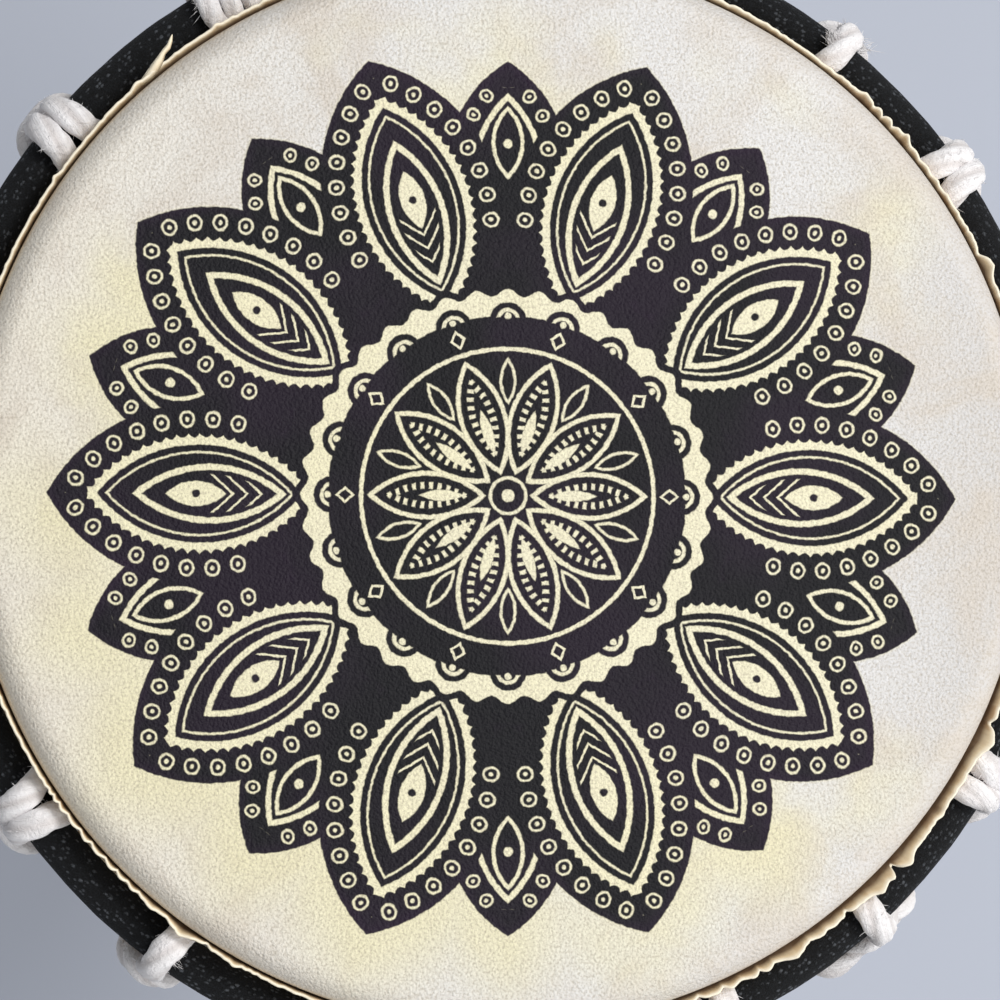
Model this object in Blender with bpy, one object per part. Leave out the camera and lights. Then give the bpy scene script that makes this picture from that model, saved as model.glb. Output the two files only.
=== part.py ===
"""A small rope-tuned goblet hand drum, standing on its foot.

A goat skin lies over the bearing edge of a turned wooden goblet. Its margin is folded round the iron flesh ring,
turned up inside the cloth-wrapped crown ring and trimmed there. A soft rope is hitched round the crown ring and
hangs in a loop between each two hitches. The lacing rope runs through those loops and round the lower ring.

Everything is in metres, +Z up, with the origin at the middle of the foot. Depths are measured down from the top.
"""

import math

import bmesh
import bpy
import numpy as np

MM = 0.001

# Driving dimensions
HEIGHT = 400 * MM
HEAD_RADIUS = 100 * MM
HIDE = 0.8 * MM
FOLD_HIDE = 0.7 * MM
GAP = 0.3 * MM
RIM_ROUNDING = 6 * MM

CROWN_RADIUS = 105.4 * MM
CROWN_DEPTH = 14 * MM
CROWN_ROD = 3.0 * MM
FLESH_RADIUS = 103.2 * MM
FLESH_DEPTH = 26 * MM
FLESH_ROD = 2.5 * MM
LOWER_DEPTH = 180 * MM
LOWER_ROD = 2.5 * MM
LOWER_STANDOFF = 7.0 * MM
CLOTH = 0.7 * MM
CLOTH_SEAM = 12  # degrees left open along the sewn edge

LOOP_DROP = 30 * MM
LOOP_OUT = -4.0  # millimetres out from the crown ring's middle: loops and lacing hang hidden below it
LACING_OVER_LOOP = 5.6 * MM

SEGMENTS = 40
LOWER_SEGMENTS = 32
ROD_SEGMENTS = 5
ROUNDING_POINTS = 4  # points of an arc round the bearing edge
FOLD_POINTS = 5  # points of the arc that the hide makes round the flesh ring
EDGE_STEPS = 3  # steps of the collar's ragged edge for each segment of its fold
ROPE_BEVEL = 1  # bevel resolution of a rope, which gives six sides

# The goblet's outside and inside, as (depth, radius) stations in millimetres
OUTSIDE = [
    (6, 98.9),
    (14, 96.4),
    (50, 87.8),
    (90, 79.2),
    (130, 69.0),
    (160, 60.2),
    (180, 53.2),
    (200, 48.0),
    (225, 45.8),
    (265, 47.0),
    (315, 51.8),
    (365, 59.4),
    (394, 64.4),
]
INSIDE = [
    (7, 88.6),
    (50, 78.8),
    (100, 66.8),
    (145, 51.6),
    (178, 36.6),
    (205, 30.6),
    (245, 30.2),
    (320, 39.2),
    (400, 54.0),
]
FOOT_CHAMFER = 1.6 * MM
BEARING_FLAT = 1.5 * MM

# Depths down the head's side where the drawn-in hide follows the bowl, the last being where its fold begins
SIDE_HIDE = [10 * MM, 14 * MM, 21 * MM]

# The folded hide's middle line, as (radius, height against the top): where it leaves the head's side, where it
# comes back over the flesh ring, and its way up inside the crown ring
FOLD_START = (97.05 * MM, -21.2 * MM)
FOLD_END = (98.75 * MM, -19.8 * MM)
FOLD_TURN = (-150, 90)  # degrees that it goes round the flesh ring
INSIDE_CROWN = (98.2 * MM, -13.2 * MM)
NEAR_EDGE = (100.55 * MM, -6.6 * MM)
TRIMMED_EDGE = (101.0 * MM, -3.7 * MM)

# Where the hitches stand round the crown ring: number and degrees, the rest being evenly spaced between them
HITCH_PLACES = [
    (0, 35.3),
    (1, 52.6),
    (5, 118.5),
    (6, 141.3),
    (10, 214.2),
    (11, 233.7),
    (15, 311.0),
    (16, 329.0),
    (20, 395.3),
]
HITCHES = 20
JOINING_HITCH = 5
JOINING_TURNS = (2.0, 6.0)  # millimetres from the joining hitch's middle to each rope end's two turns
LOOSE_HITCH = 15
LOOSE_STAND_OFF = 4.0 # millimetres that the loose hitch's strands stand out further from the ring

# The ragged edge's lean: how far it stands out all round, and how much more in the wide stretch
EDGE_LEAN = 0.5 * MM
WIDE_LEAN = 1.5 * MM
WIDE_MIDDLE = 316  # degrees
WIDE_SPREAD = 34
EDGE_WAVES = [(17, 0.25 * MM), (29, 0.15 * MM)]  # waves round the drum, and their height
FLAP_SPREAD = 2.0  # degrees

# Flaps of the trimmed hide that stand out, as (degrees, extra reach)
FLAPS = [
    (25.0, 1.6 * MM),
    (127.5, 2.6 * MM),
    (315.0, 1.6 * MM),
    (332.5, 1.4 * MM),
]


def clear_scene():
    for thing in list(bpy.data.objects):
        bpy.data.objects.remove(thing, do_unlink=True)


def finish(name, colour, roughness, metallic=0.0):
    """A Principled material."""
    material = bpy.data.materials.new(name)
    material.use_nodes = True
    shader = material.node_tree.nodes["Principled BSDF"]
    shader.inputs["Base Color"].default_value = (*colour, 1.0)
    shader.inputs["Roughness"].default_value = roughness
    shader.inputs["Metallic"].default_value = metallic
    return material


def add_object(name, data, material):
    thing = bpy.data.objects.new(name, data)
    bpy.context.scene.collection.objects.link(thing)
    data.materials.append(material)
    return thing


def shade(mesh, sharp_angle=40):
    mesh.shade_smooth()
    mesh.set_sharp_from_angle(angle=math.radians(sharp_angle))


def smooth_through(stations, wanted):
    """Values at the wanted depths, on a smooth curve through (depth, value) stations."""
    depth, value = np.array(stations, float).T
    slope = np.gradient(value, depth)
    below = np.clip(np.searchsorted(depth, wanted) - 1, 0, len(depth) - 2)
    span = depth[below + 1] - depth[below]
    t = (wanted - depth[below]) / span
    start = (2 * t**3 - 3 * t**2 + 1) * value[below]
    start += (t**3 - 2 * t**2 + t) * span * slope[below]
    end = (3 * t**2 - 2 * t**3) * value[below + 1]
    end += (t**3 - t**2) * span * slope[below + 1]
    return start + end


def shell_radius(depth):
    """The goblet's outer radius at a depth below the top, in metres."""
    return float(smooth_through(OUTSIDE, np.array([depth / MM]))[0]) * MM


def arc(centre, radius, first, last, count):
    """Points of an arc in the section plane. Angles are in degrees, from outward towards up."""
    angles = np.radians(np.linspace(first, last, count))
    return [(centre[0] + radius * math.cos(a), centre[1] + radius * math.sin(a)) for a in angles]


def turned(name, outline, segments, material, closed=True):
    """A solid of revolution from an outline of (radius, height) points."""
    mesh = bpy.data.meshes.new(name)
    shape = bmesh.new()
    corners = [shape.verts.new((r, 0, z)) for r, z in outline]
    pairs = list(zip(corners, corners[1:]))
    if closed:
        pairs.append((corners[-1], corners[0]))
    edges = [shape.edges.new(pair) for pair in pairs]
    bmesh.ops.spin(
        shape,
        geom=corners + edges,
        cent=(0, 0, 0),
        axis=(0, 0, 1),
        angle=2 * math.pi,
        steps=segments,
    )
    bmesh.ops.remove_doubles(shape, verts=shape.verts, dist=0.001 * MM)
    bmesh.ops.recalc_face_normals(shape, faces=shape.faces)
    shape.to_mesh(mesh)
    shape.free()
    shade(mesh)
    return add_object(name, mesh, material)


def make_shell():
    """The goblet: bearing edge, bowl, throat and flared foot, turned from one block."""
    top = HEIGHT - HIDE - GAP
    rounding = RIM_ROUNDING - HIDE - GAP
    edge_centre = (HEAD_RADIUS - RIM_ROUNDING, HEIGHT - RIM_ROUNDING)
    outline = arc(edge_centre, rounding, 90, 0, ROUNDING_POINTS)
    outline += [(r * MM, HEIGHT - d * MM) for d, r in OUTSIDE[1:]]
    foot = OUTSIDE[-1][1] * MM
    outline += [(foot, FOOT_CHAMFER), (foot - FOOT_CHAMFER, 0)]
    outline += [(r * MM, HEIGHT - d * MM) for d, r in reversed(INSIDE)]
    outline += [(edge_centre[0] - BEARING_FLAT, top)]
    return turned("shell", outline, SEGMENTS, finish("wood", (0.30, 0.14, 0.06), 0.45))


def make_drumhead():
    """The skin over the bearing edge, drawn in along the bowl down to where it is folded."""
    centre = (HEAD_RADIUS - RIM_ROUNDING, HEIGHT - RIM_ROUNDING)
    outline = [(0, HEIGHT)] + arc(centre, RIM_ROUNDING, 90, 0, ROUNDING_POINTS + 1)
    outline += [(shell_radius(depth) + GAP + HIDE, HEIGHT - depth) for depth in SIDE_HIDE]
    outline += [(shell_radius(depth) + GAP, HEIGHT - depth) for depth in reversed(SIDE_HIDE[1:])]
    outline += arc(centre, RIM_ROUNDING - HIDE, 0, 90, ROUNDING_POINTS) + [(0, HEIGHT - HIDE)]
    return turned("drumhead", outline, SEGMENTS, finish("hide", (0.80, 0.74, 0.62), 0.6), closed=False)


def ring(name, radius, height, rod, segments, material):
    """A round iron rod bent to a ring."""
    bpy.ops.mesh.primitive_torus_add(
        major_segments=segments,
        minor_segments=ROD_SEGMENTS,
        major_radius=radius,
        minor_radius=rod,
        location=(0, 0, height),
    )
    thing = bpy.context.object
    thing.name = thing.data.name = name
    thing.data.materials.append(material)
    thing.data.transform(thing.matrix_basis)
    thing.matrix_basis.identity()
    shade(thing.data, 70)
    return thing


def cloth_sleeve(name, radius, height, rod, segments, points, seam_angle, material):
    """Cloth round a ring's rod, open by a hair along its sewn edge."""
    first = seam_angle + CLOTH_SEAM / 2
    last = seam_angle + 360 - CLOTH_SEAM / 2
    flat = math.cos(math.radians((last - first) / (points - 1) / 2))
    outline = arc((radius, height), rod + GAP + CLOTH, first, last, points)
    outline += arc((radius, height), (rod + GAP / 2) / flat, last, first, points)
    return turned(name, outline, segments, material)


def degrees_apart(one, other):
    return abs((one - other + 180) % 360 - 180)


def edge_reach(degrees):
    """How far the trimmed edge of the hide leans out at this place, beyond where it clears the head."""
    reach = EDGE_LEAN + WIDE_LEAN * math.exp(-((degrees_apart(degrees, WIDE_MIDDLE) / WIDE_SPREAD) ** 2))
    for waves, height in EDGE_WAVES:
        reach += height * math.sin(math.radians(degrees * waves))
    for place, extra in FLAPS:
        reach += extra * math.exp(-((degrees_apart(degrees, place) / FLAP_SPREAD) ** 2))
    return reach


def fold_line():
    """The middle of the folded hide in section: down from the head's side and round the flesh ring."""
    step = (FOLD_TURN[1] - FOLD_TURN[0]) / (FOLD_POINTS - 1)
    clear_of_rod = (FLESH_ROD + GAP / 2) / math.cos(math.radians(step / 2))
    turn = arc((FLESH_RADIUS, -FLESH_DEPTH), clear_of_rod + FOLD_HIDE / 2, *FOLD_TURN, FOLD_POINTS)
    return [FOLD_START] + turn + [FOLD_END]


def edge_line(degrees):
    """The rest of it: up inside the crown ring, clear of the head, and out to the trimmed edge."""
    reach = edge_reach(degrees)
    return [INSIDE_CROWN, NEAR_EDGE, (TRIMMED_EDGE[0] + reach, TRIMMED_EDGE[1] + reach / 4)]


def thickened(line, thickness):
    """The closed outline of a strip of this thickness with the given middle line."""
    middle = np.array(line)
    along = np.gradient(middle, axis=0)
    along /= np.linalg.norm(along, axis=1)[:, None]
    across = np.stack([-along[:, 1], along[:, 0]], axis=1) * thickness / 2
    return np.concatenate([middle + across, (middle - across)[::-1]])


def make_collar(material):
    """The hide's margin: a plain fold, and an edge with its own section at every step round the drum."""
    mesh = bpy.data.meshes.new("skin_collar")
    shape = bmesh.new()
    fold = fold_line()

    def section(step):
        """The section's corners at this step, each None where only the edge is made."""
        angle = 2 * math.pi * step / (SEGMENTS * EDGE_STEPS)
        outline = thickened(fold + edge_line(math.degrees(angle)), FOLD_HIDE)
        corners = []
        for number, (r, z) in enumerate(outline):
            in_fold = min(number, len(outline) - 1 - number) < len(fold)
            if in_fold and step % EDGE_STEPS:
                corners.append(None)
            else:
                corners.append(shape.verts.new((r * math.cos(angle), r * math.sin(angle), HEIGHT + z)))
        return corners

    sections = [section(step) for step in range(SEGMENTS * EDGE_STEPS)]
    sections.append(sections[0])
    for first in range(0, SEGMENTS * EDGE_STEPS, EDGE_STEPS):
        group = sections[first : first + EDGE_STEPS + 1]
        rows = [[corners[number] for corners in group if corners[number]] for number in range(len(group[0]))]
        for row, after in zip(rows, rows[1:] + rows[:1]):
            if len(row) == len(after):
                for a, b, c, d in zip(row, row[1:], after[1:], after):
                    shape.faces.new((a, b, c, d))
            else:
                shape.faces.new(row + after[::-1])
    bmesh.ops.recalc_face_normals(shape, faces=shape.faces)
    shape.to_mesh(mesh)
    shape.free()
    shade(mesh, 60)
    return add_object("skin_collar", mesh, material)


def on_ring(along, angle, reach, size):
    """A rope point beside the crown ring: distance along it, angle round its rod, reach from its middle, and the
    rope's radius there. All in millimetres and degrees; the angle runs from outward towards up."""
    turn = math.radians(angle)
    return (along, reach * math.cos(turn), reach * math.sin(turn), size)


def mirrored(points):
    """The same points run the other way on the other side of the hitch."""
    return [(-along, out, up, size) for along, out, up, size in reversed(points)]


def single_hitch(stand_off):
    """One turn over the ring, held down by the rope's own crossing strand. The strands either side of it stand
    off the ring by this much more than usual."""
    return [
        (-7.8, 4.8 + stand_off, -13.2, 2.6),
        (-4.2, 7.4, -9.6, 2.3),
        (0, 8.1, -8.9, 2.2),
        (4.4, 6.6, -9.0, 2.2),
        on_ring(6.4, -88, 6.5, 1.9),
        on_ring(5.2, -138, 5.85, 1.3),
        on_ring(3.0, 180, 5.45, 1.05),
        on_ring(1.6, 150, 5.45, 1.05),
        on_ring(0.5, 122, 6.05, 1.6),
        on_ring(0, 90, 7.2, 2.7),
        on_ring(0, 45, 7.3, 2.7),
        on_ring(0, 0, 7.1, 2.6),
        on_ring(0, -48, 6.5, 1.95),
        (0.2, 3.2, -9.7, 1.9),
        (1.4, 4.2, -13.9, 2.2),
        (5.6, 1.8 + stand_off, -17.6, 2.6),
    ]


def double_hitch():
    """Two turns side by side over the ring, held down by the bight that joins them."""
    half = [
        (-7.8, 1.8, -17.6, 2.6),
        (-4.2, 4.2, -13.9, 2.2),
        (-3.2, 3.2, -9.7, 1.9),
        on_ring(-3.2, -48, 6.5, 1.95),
        on_ring(-3.1, 0, 7.1, 2.6),
        on_ring(-3.1, 45, 7.3, 2.7),
        on_ring(-3.1, 90, 7.2, 2.7),
        on_ring(-3.5, 122, 6.05, 1.6),
        on_ring(-4.4, 150, 5.45, 1.05),
        on_ring(-5.6, 180, 5.45, 1.05),
        on_ring(-7.6, -138, 5.85, 1.3),
        on_ring(-9.0, -88, 6.5, 1.9),
        (-7.2, 6.6, -9.0, 2.2),
    ]
    return half + [(-3.6, 8.1, -8.9, 2.2), (3.6, 8.1, -8.9, 2.2)] + mirrored(half)


def round_turns(first, second):
    """Two plain turns round the ring, from a cut end below the first to the loop that leaves the second."""
    def turn(place):
        return [
            on_ring(place, -42, 6.1, 1.75),
            on_ring(place, 0, 6.2, 1.8),
            on_ring(place, 45, 6.3, 1.8),
            on_ring(place, 90, 6.2, 1.8),
            on_ring(place, 122, 5.9, 1.5),
            on_ring(place, 150, 5.45, 1.05),
        ]

    middle = (first + second) / 2
    under = [
        on_ring(first * 0.75 + second * 0.25, 180, 5.45, 1.05),
        on_ring(middle, -135, 5.85, 1.2),
        on_ring(middle, -85, 6.0, 1.7),
    ]
    leave = [
        on_ring(second, 180, 5.45, 1.05),
        on_ring(second + 2.0, -135, 5.85, 1.2),
        on_ring(second + 4.4, -85, 6.4, 1.9),
        (second + 6.6, 5.2, -12.6, 2.5),
    ]
    return [(first, 4.8, -17.0, 1.75)] + turn(first) + under + turn(second) + leave


def hitch_degrees(number):
    numbers, degrees = zip(*HITCH_PLACES)
    return float(np.interp(number, numbers, degrees))


def loop_degrees(number):
    """The middle of the hanging loop that follows this hitch."""
    here = hitch_degrees(number % HITCHES)
    after = hitch_degrees(number % HITCHES + 1)
    return (here + after) / 2


def round_drum(degrees, radius, depth, local):
    """World points, with rope radii, of points measured along, out from and up from a ring's middle."""
    placed = []
    for along, out, up, size in local:
        angle = math.radians(degrees) + along * MM / radius
        r = radius + out * MM
        placed.append((r * math.cos(angle), r * math.sin(angle), HEIGHT - depth + up * MM, size * MM))
    return placed


def loop_rope_points():
    """The rope on the crown ring, from its start at the joining hitch right round to its end there."""
    def at(degrees, local):
        return round_drum(degrees, CROWN_RADIUS, CROWN_DEPTH, local)

    def loop(number):
        low = -LOOP_DROP / MM
        half = [(-6.2, LOOP_OUT + 1.0, low + 6.2, 2.6), (-3.4, LOOP_OUT, low, 2.6)]
        return at(loop_degrees(number), half + mirrored(half))

    joint = hitch_degrees(JOINING_HITCH)
    points = at(joint, round_turns(*JOINING_TURNS)) + loop(JOINING_HITCH)
    for number in range(JOINING_HITCH + 1, JOINING_HITCH + HITCHES):
        stand_off = LOOSE_STAND_OFF if number == LOOSE_HITCH else 0
        local = single_hitch(stand_off) if number % 2 else double_hitch()
        points += at(hitch_degrees(number % HITCHES), local) + loop(number)
    return points + at(joint, mirrored(round_turns(*JOINING_TURNS)))


def lower_ring_place():
    """Radius of the lower ring, and the lean of the bowl beside it."""
    step = 4 * MM
    rise = shell_radius(LOWER_DEPTH - step) - shell_radius(LOWER_DEPTH + step)
    lean = math.atan2(rise, 2 * step)
    return shell_radius(LOWER_DEPTH) + LOWER_STANDOFF / math.cos(lean), lean


def lacing_points():
    """The lacing: up outside, over the hanging loop, down inside, round the lower ring and up again."""
    radius, lean = lower_ring_place()
    drop = CROWN_DEPTH / MM + LOOP_DROP / MM - LACING_OVER_LOOP / MM

    def over_loop(number):
        return round_drum(
            loop_degrees(number),
            CROWN_RADIUS,
            0,
            [
                (-2.0, LOOP_OUT + 6.1, -drop - 6.4, 2.6),
                (-0.7, LOOP_OUT + 3.0, -drop, 2.6),
                (0.7, LOOP_OUT - 3.0, -drop, 2.6),
                (2.0, LOOP_OUT - 6.1, -drop - 6.4, 2.6),
            ],
        )

    def beside_lower(degrees, places):
        local = []
        for along, angle, reach, size in places:
            turn = math.radians(angle) - lean
            local.append((along, reach * math.cos(turn), reach * math.sin(turn), size))
        return round_drum(degrees, radius, LOWER_DEPTH, local)

    def between(number):
        before = loop_degrees(number - 1)
        after = loop_degrees(number)
        return (before + (after - before) % 360 / 2) % 360

    going_in = [(-2.8, 118, 6.2, 2.2), (-1.8, 155, 5.4, 1.4), (-1.0, 195, 5.2, 1.2), (-0.2, 240, 5.7, 1.7)]
    coming_out = [(0.8, 288, 6.4, 2.4), (1.8, 340, 6.8, 2.6), (2.8, 400, 7.0, 2.6)]
    start = JOINING_HITCH + 1
    first_end = [(-2.6, 285, 16, 2.4), (-2.6, 332, 7.4, 2.6), (-1.8, 400, 7.0, 2.6)]
    last_end = [(3.4, 285, 6.3, 2.4), (3.8, 300, 16, 2.4)]
    seat = between(start)
    points = beside_lower(seat + 3, first_end)
    for number in range(start, start + HITCHES):
        points += over_loop(number)
        if number < start + HITCHES - 1:
            points += beside_lower(between(number + 1), going_in + coming_out)
    shifted = [(along - 3.5, angle, reach, size) for along, angle, reach, size in going_in]
    return points + beside_lower(seat, shifted + [(a - 9.0, b, c, d) for a, b, c, d in last_end])


def rope(name, points, material):
    """A round rope along world points, each with its own radius."""
    curve = bpy.data.curves.new(name, "CURVE")
    curve.dimensions = "3D"
    curve.bevel_depth = 1.0
    curve.bevel_resolution = ROPE_BEVEL
    curve.use_fill_caps = True
    curve.twist_mode = "MINIMUM"
    spline = curve.splines.new("POLY")
    spline.points.add(len(points) - 1)
    for knot, (x, y, z, size) in zip(spline.points, points):
        knot.co = (x, y, z, 1)
        knot.radius = size
    return add_object(name, curve, material)


def carried_by(empty, things):
    """Hangs the moving pieces on an empty that stands on their joint's axis."""
    for thing in things:
        thing.parent = empty
        thing.matrix_parent_inverse = empty.matrix_world.inverted()


def main():
    clear_scene()
    iron = finish("black_iron", (0.05, 0.05, 0.055), 0.5, 0.9)
    cloth = finish("black_cloth", (0.012, 0.013, 0.015), 0.7)
    trimmed_hide = finish("trimmed_hide", (0.66, 0.52, 0.32), 0.6)
    white_rope = finish("white_rope", (0.86, 0.84, 0.80), 0.9)
    crown_height = HEIGHT - CROWN_DEPTH
    lower_height = HEIGHT - LOWER_DEPTH
    lower_radius, _ = lower_ring_place()

    make_shell()
    make_drumhead()
    ring("lower_ring", lower_radius, lower_height, LOWER_ROD, LOWER_SEGMENTS, iron)
    cloth_sleeve("lower_ring_wrap", lower_radius, lower_height, LOWER_ROD, LOWER_SEGMENTS, 7, 150, cloth)
    rope("lacing_rope", lacing_points(), white_rope)

    slide = bpy.data.objects.new("crown_slide", None)
    slide.location = (0, 0, crown_height)
    bpy.context.scene.collection.objects.link(slide)
    bpy.context.view_layer.update()
    moving = [
        make_collar(trimmed_hide),
        ring("flesh_ring", FLESH_RADIUS, HEIGHT - FLESH_DEPTH, FLESH_ROD, SEGMENTS, iron),
        ring("crown_ring", CROWN_RADIUS, crown_height, CROWN_ROD, SEGMENTS, iron),
        cloth_sleeve("crown_ring_wrap", CROWN_RADIUS, crown_height, CROWN_ROD, SEGMENTS, 8, 215, cloth),
        rope("top_loop_rope", loop_rope_points(), white_rope),
    ]
    carried_by(slide, moving)


main()
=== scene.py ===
"""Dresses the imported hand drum: its printed skin, trimmed collar, cloth-wrapped rings, ropes and shell."""

import math

import bmesh
import bpy
import numpy as np
from bpy.props import FloatProperty, FloatVectorProperty, PointerProperty
from mathutils import Matrix, Vector


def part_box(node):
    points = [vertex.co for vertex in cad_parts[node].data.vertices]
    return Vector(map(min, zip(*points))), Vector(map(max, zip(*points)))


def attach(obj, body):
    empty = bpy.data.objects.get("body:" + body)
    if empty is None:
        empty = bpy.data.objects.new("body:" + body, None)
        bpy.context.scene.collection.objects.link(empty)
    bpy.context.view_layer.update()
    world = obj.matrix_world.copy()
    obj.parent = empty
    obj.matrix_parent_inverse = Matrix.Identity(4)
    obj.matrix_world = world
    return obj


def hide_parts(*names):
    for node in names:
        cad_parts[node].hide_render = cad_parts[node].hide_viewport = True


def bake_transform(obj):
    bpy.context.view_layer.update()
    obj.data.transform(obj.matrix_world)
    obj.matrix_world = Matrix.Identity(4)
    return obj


bl_info = {
    "name": "Rope-tuned Hand Drum",
    "version": (1, 0, 0),
    "blender": (4, 5, 0),
    "location": "View3D > Sidebar > Hand Drum",
    "description": "Models the skin, collar, ropes, wrapped rings, shell and studio of a goblet hand drum",
    "category": "Object",
}

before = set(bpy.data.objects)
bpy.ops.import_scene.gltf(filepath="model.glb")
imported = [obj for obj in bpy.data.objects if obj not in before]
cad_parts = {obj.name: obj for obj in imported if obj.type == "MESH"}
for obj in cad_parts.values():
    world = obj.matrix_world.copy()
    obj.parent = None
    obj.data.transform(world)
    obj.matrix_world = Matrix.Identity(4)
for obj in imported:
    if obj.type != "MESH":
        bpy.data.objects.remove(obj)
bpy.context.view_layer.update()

MM = 0.001
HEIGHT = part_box("drumhead")[1].z
TOP = HEIGHT / MM
HEAD_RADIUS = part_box("drumhead")[1].x

# Section sizes round the head, in millimetres, with heights measured against the top of the skin
HIDE = 0.8
RIM_ROUNDING = 6.0
CROWN_RADIUS = 105.4
CROWN_DEPTH = 14.0
FLESH_RADIUS = 103.2
FLESH_DEPTH = 26.0
FLESH_ROD = 2.5
WRAPPED_ROD = 4.0
LOWER_WRAPPED_ROD = 3.5
LOWER_DEPTH = 180.0
LOWER_STANDOFF = 7.0

# The goblet's outside and inside, as (depth, radius) stations in millimetres
OUTSIDE = [
    (6, 98.9), (14, 96.4), (50, 87.8), (90, 79.2), (130, 69.0), (160, 60.2), (180, 53.2), (200, 48.0),
    (225, 45.8), (265, 47.0), (315, 51.8), (365, 59.4), (394, 64.4),
]
INSIDE = [
    (7, 88.6), (50, 78.8), (100, 66.8), (145, 51.6), (178, 36.6), (205, 30.6), (245, 30.2), (320, 39.2),
    (400, 54.0),
]

# Where the hitches stand round the crown ring: number and degrees, the rest evenly spaced between them
HITCH_PLACES = [
    (0, 35.3), (1, 52.6), (5, 118.5), (6, 141.3), (10, 214.2), (11, 233.7), (15, 311.0), (16, 329.0),
    (20, 395.3),
]
HITCHES = 20
JOINING_HITCH = 5
JOINING_TURNS = (2.0, 6.0)
LOOSE_HITCH = 15
LOOSE_STAND_OFF = 4.0
LOOP_DROP = 30.0
LOOP_OUT = -4.0
LACING_OVER_LOOP = 5.6

# How often along a rope it swells and sways, how far it sways, and how far its ends are rounded
LUMP_PITCHES = (9.0, 14.0, 23.0, 37.0)
SWAY_PITCHES = (19.0, 31.0)
SWAY = 0.07
END_ROUNDING = 0.9

# The camera looks down from beside the drum's axis
CAMERA_PLACE = (-80.7 * MM, -40.8 * MM)
CAMERA_ABOVE = 650 * MM
VIEW_WIDTH = 184.7 * MM
VIEW_CENTRE = (-1.9 * MM, -2.6 * MM)
SENSOR = 36.0

# The two soft lights, each a place and a width in metres, and the fill's strength beside the key's
KEY_LIGHT = ((0.55, 0.34, 1.42), 0.5)
FILL_LIGHT = ((0.70, -0.75, 1.05), 0.8)
FILL_SHARE = 0.55
LIGHT_COLOUR = (1.0, 0.985, 0.96)
ROOM_COLOUR = (0.96, 0.98, 1.0, 1.0)
PAPER_RADIUS = 6.0
PAPER_MOTTLE = (0.50, 0.52, 0.57)


def by_node(operation):
    """A method that works out one operation on a number and another value with a Math node."""
    return lambda self, other: self.paint.math(operation, self, other)


class Number:
    """A number that a material works out: arithmetic on it adds Math nodes."""

    def __init__(self, paint, socket):
        self.paint = paint
        self.socket = socket

    __add__ = __radd__ = by_node("ADD")
    __sub__ = by_node("SUBTRACT")
    __mul__ = __rmul__ = by_node("MULTIPLY")
    __truediv__ = by_node("DIVIDE")
    __mod__ = by_node("FLOORED_MODULO")
    __and__ = by_node("MINIMUM")
    __or__ = by_node("MAXIMUM")

    def __rsub__(self, other):
        return self.paint.math("SUBTRACT", other, self)

    def __abs__(self):
        return self.paint.math("ABSOLUTE", self)

    def __neg__(self):
        return self.paint.math("MULTIPLY", self, -1.0)


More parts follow.
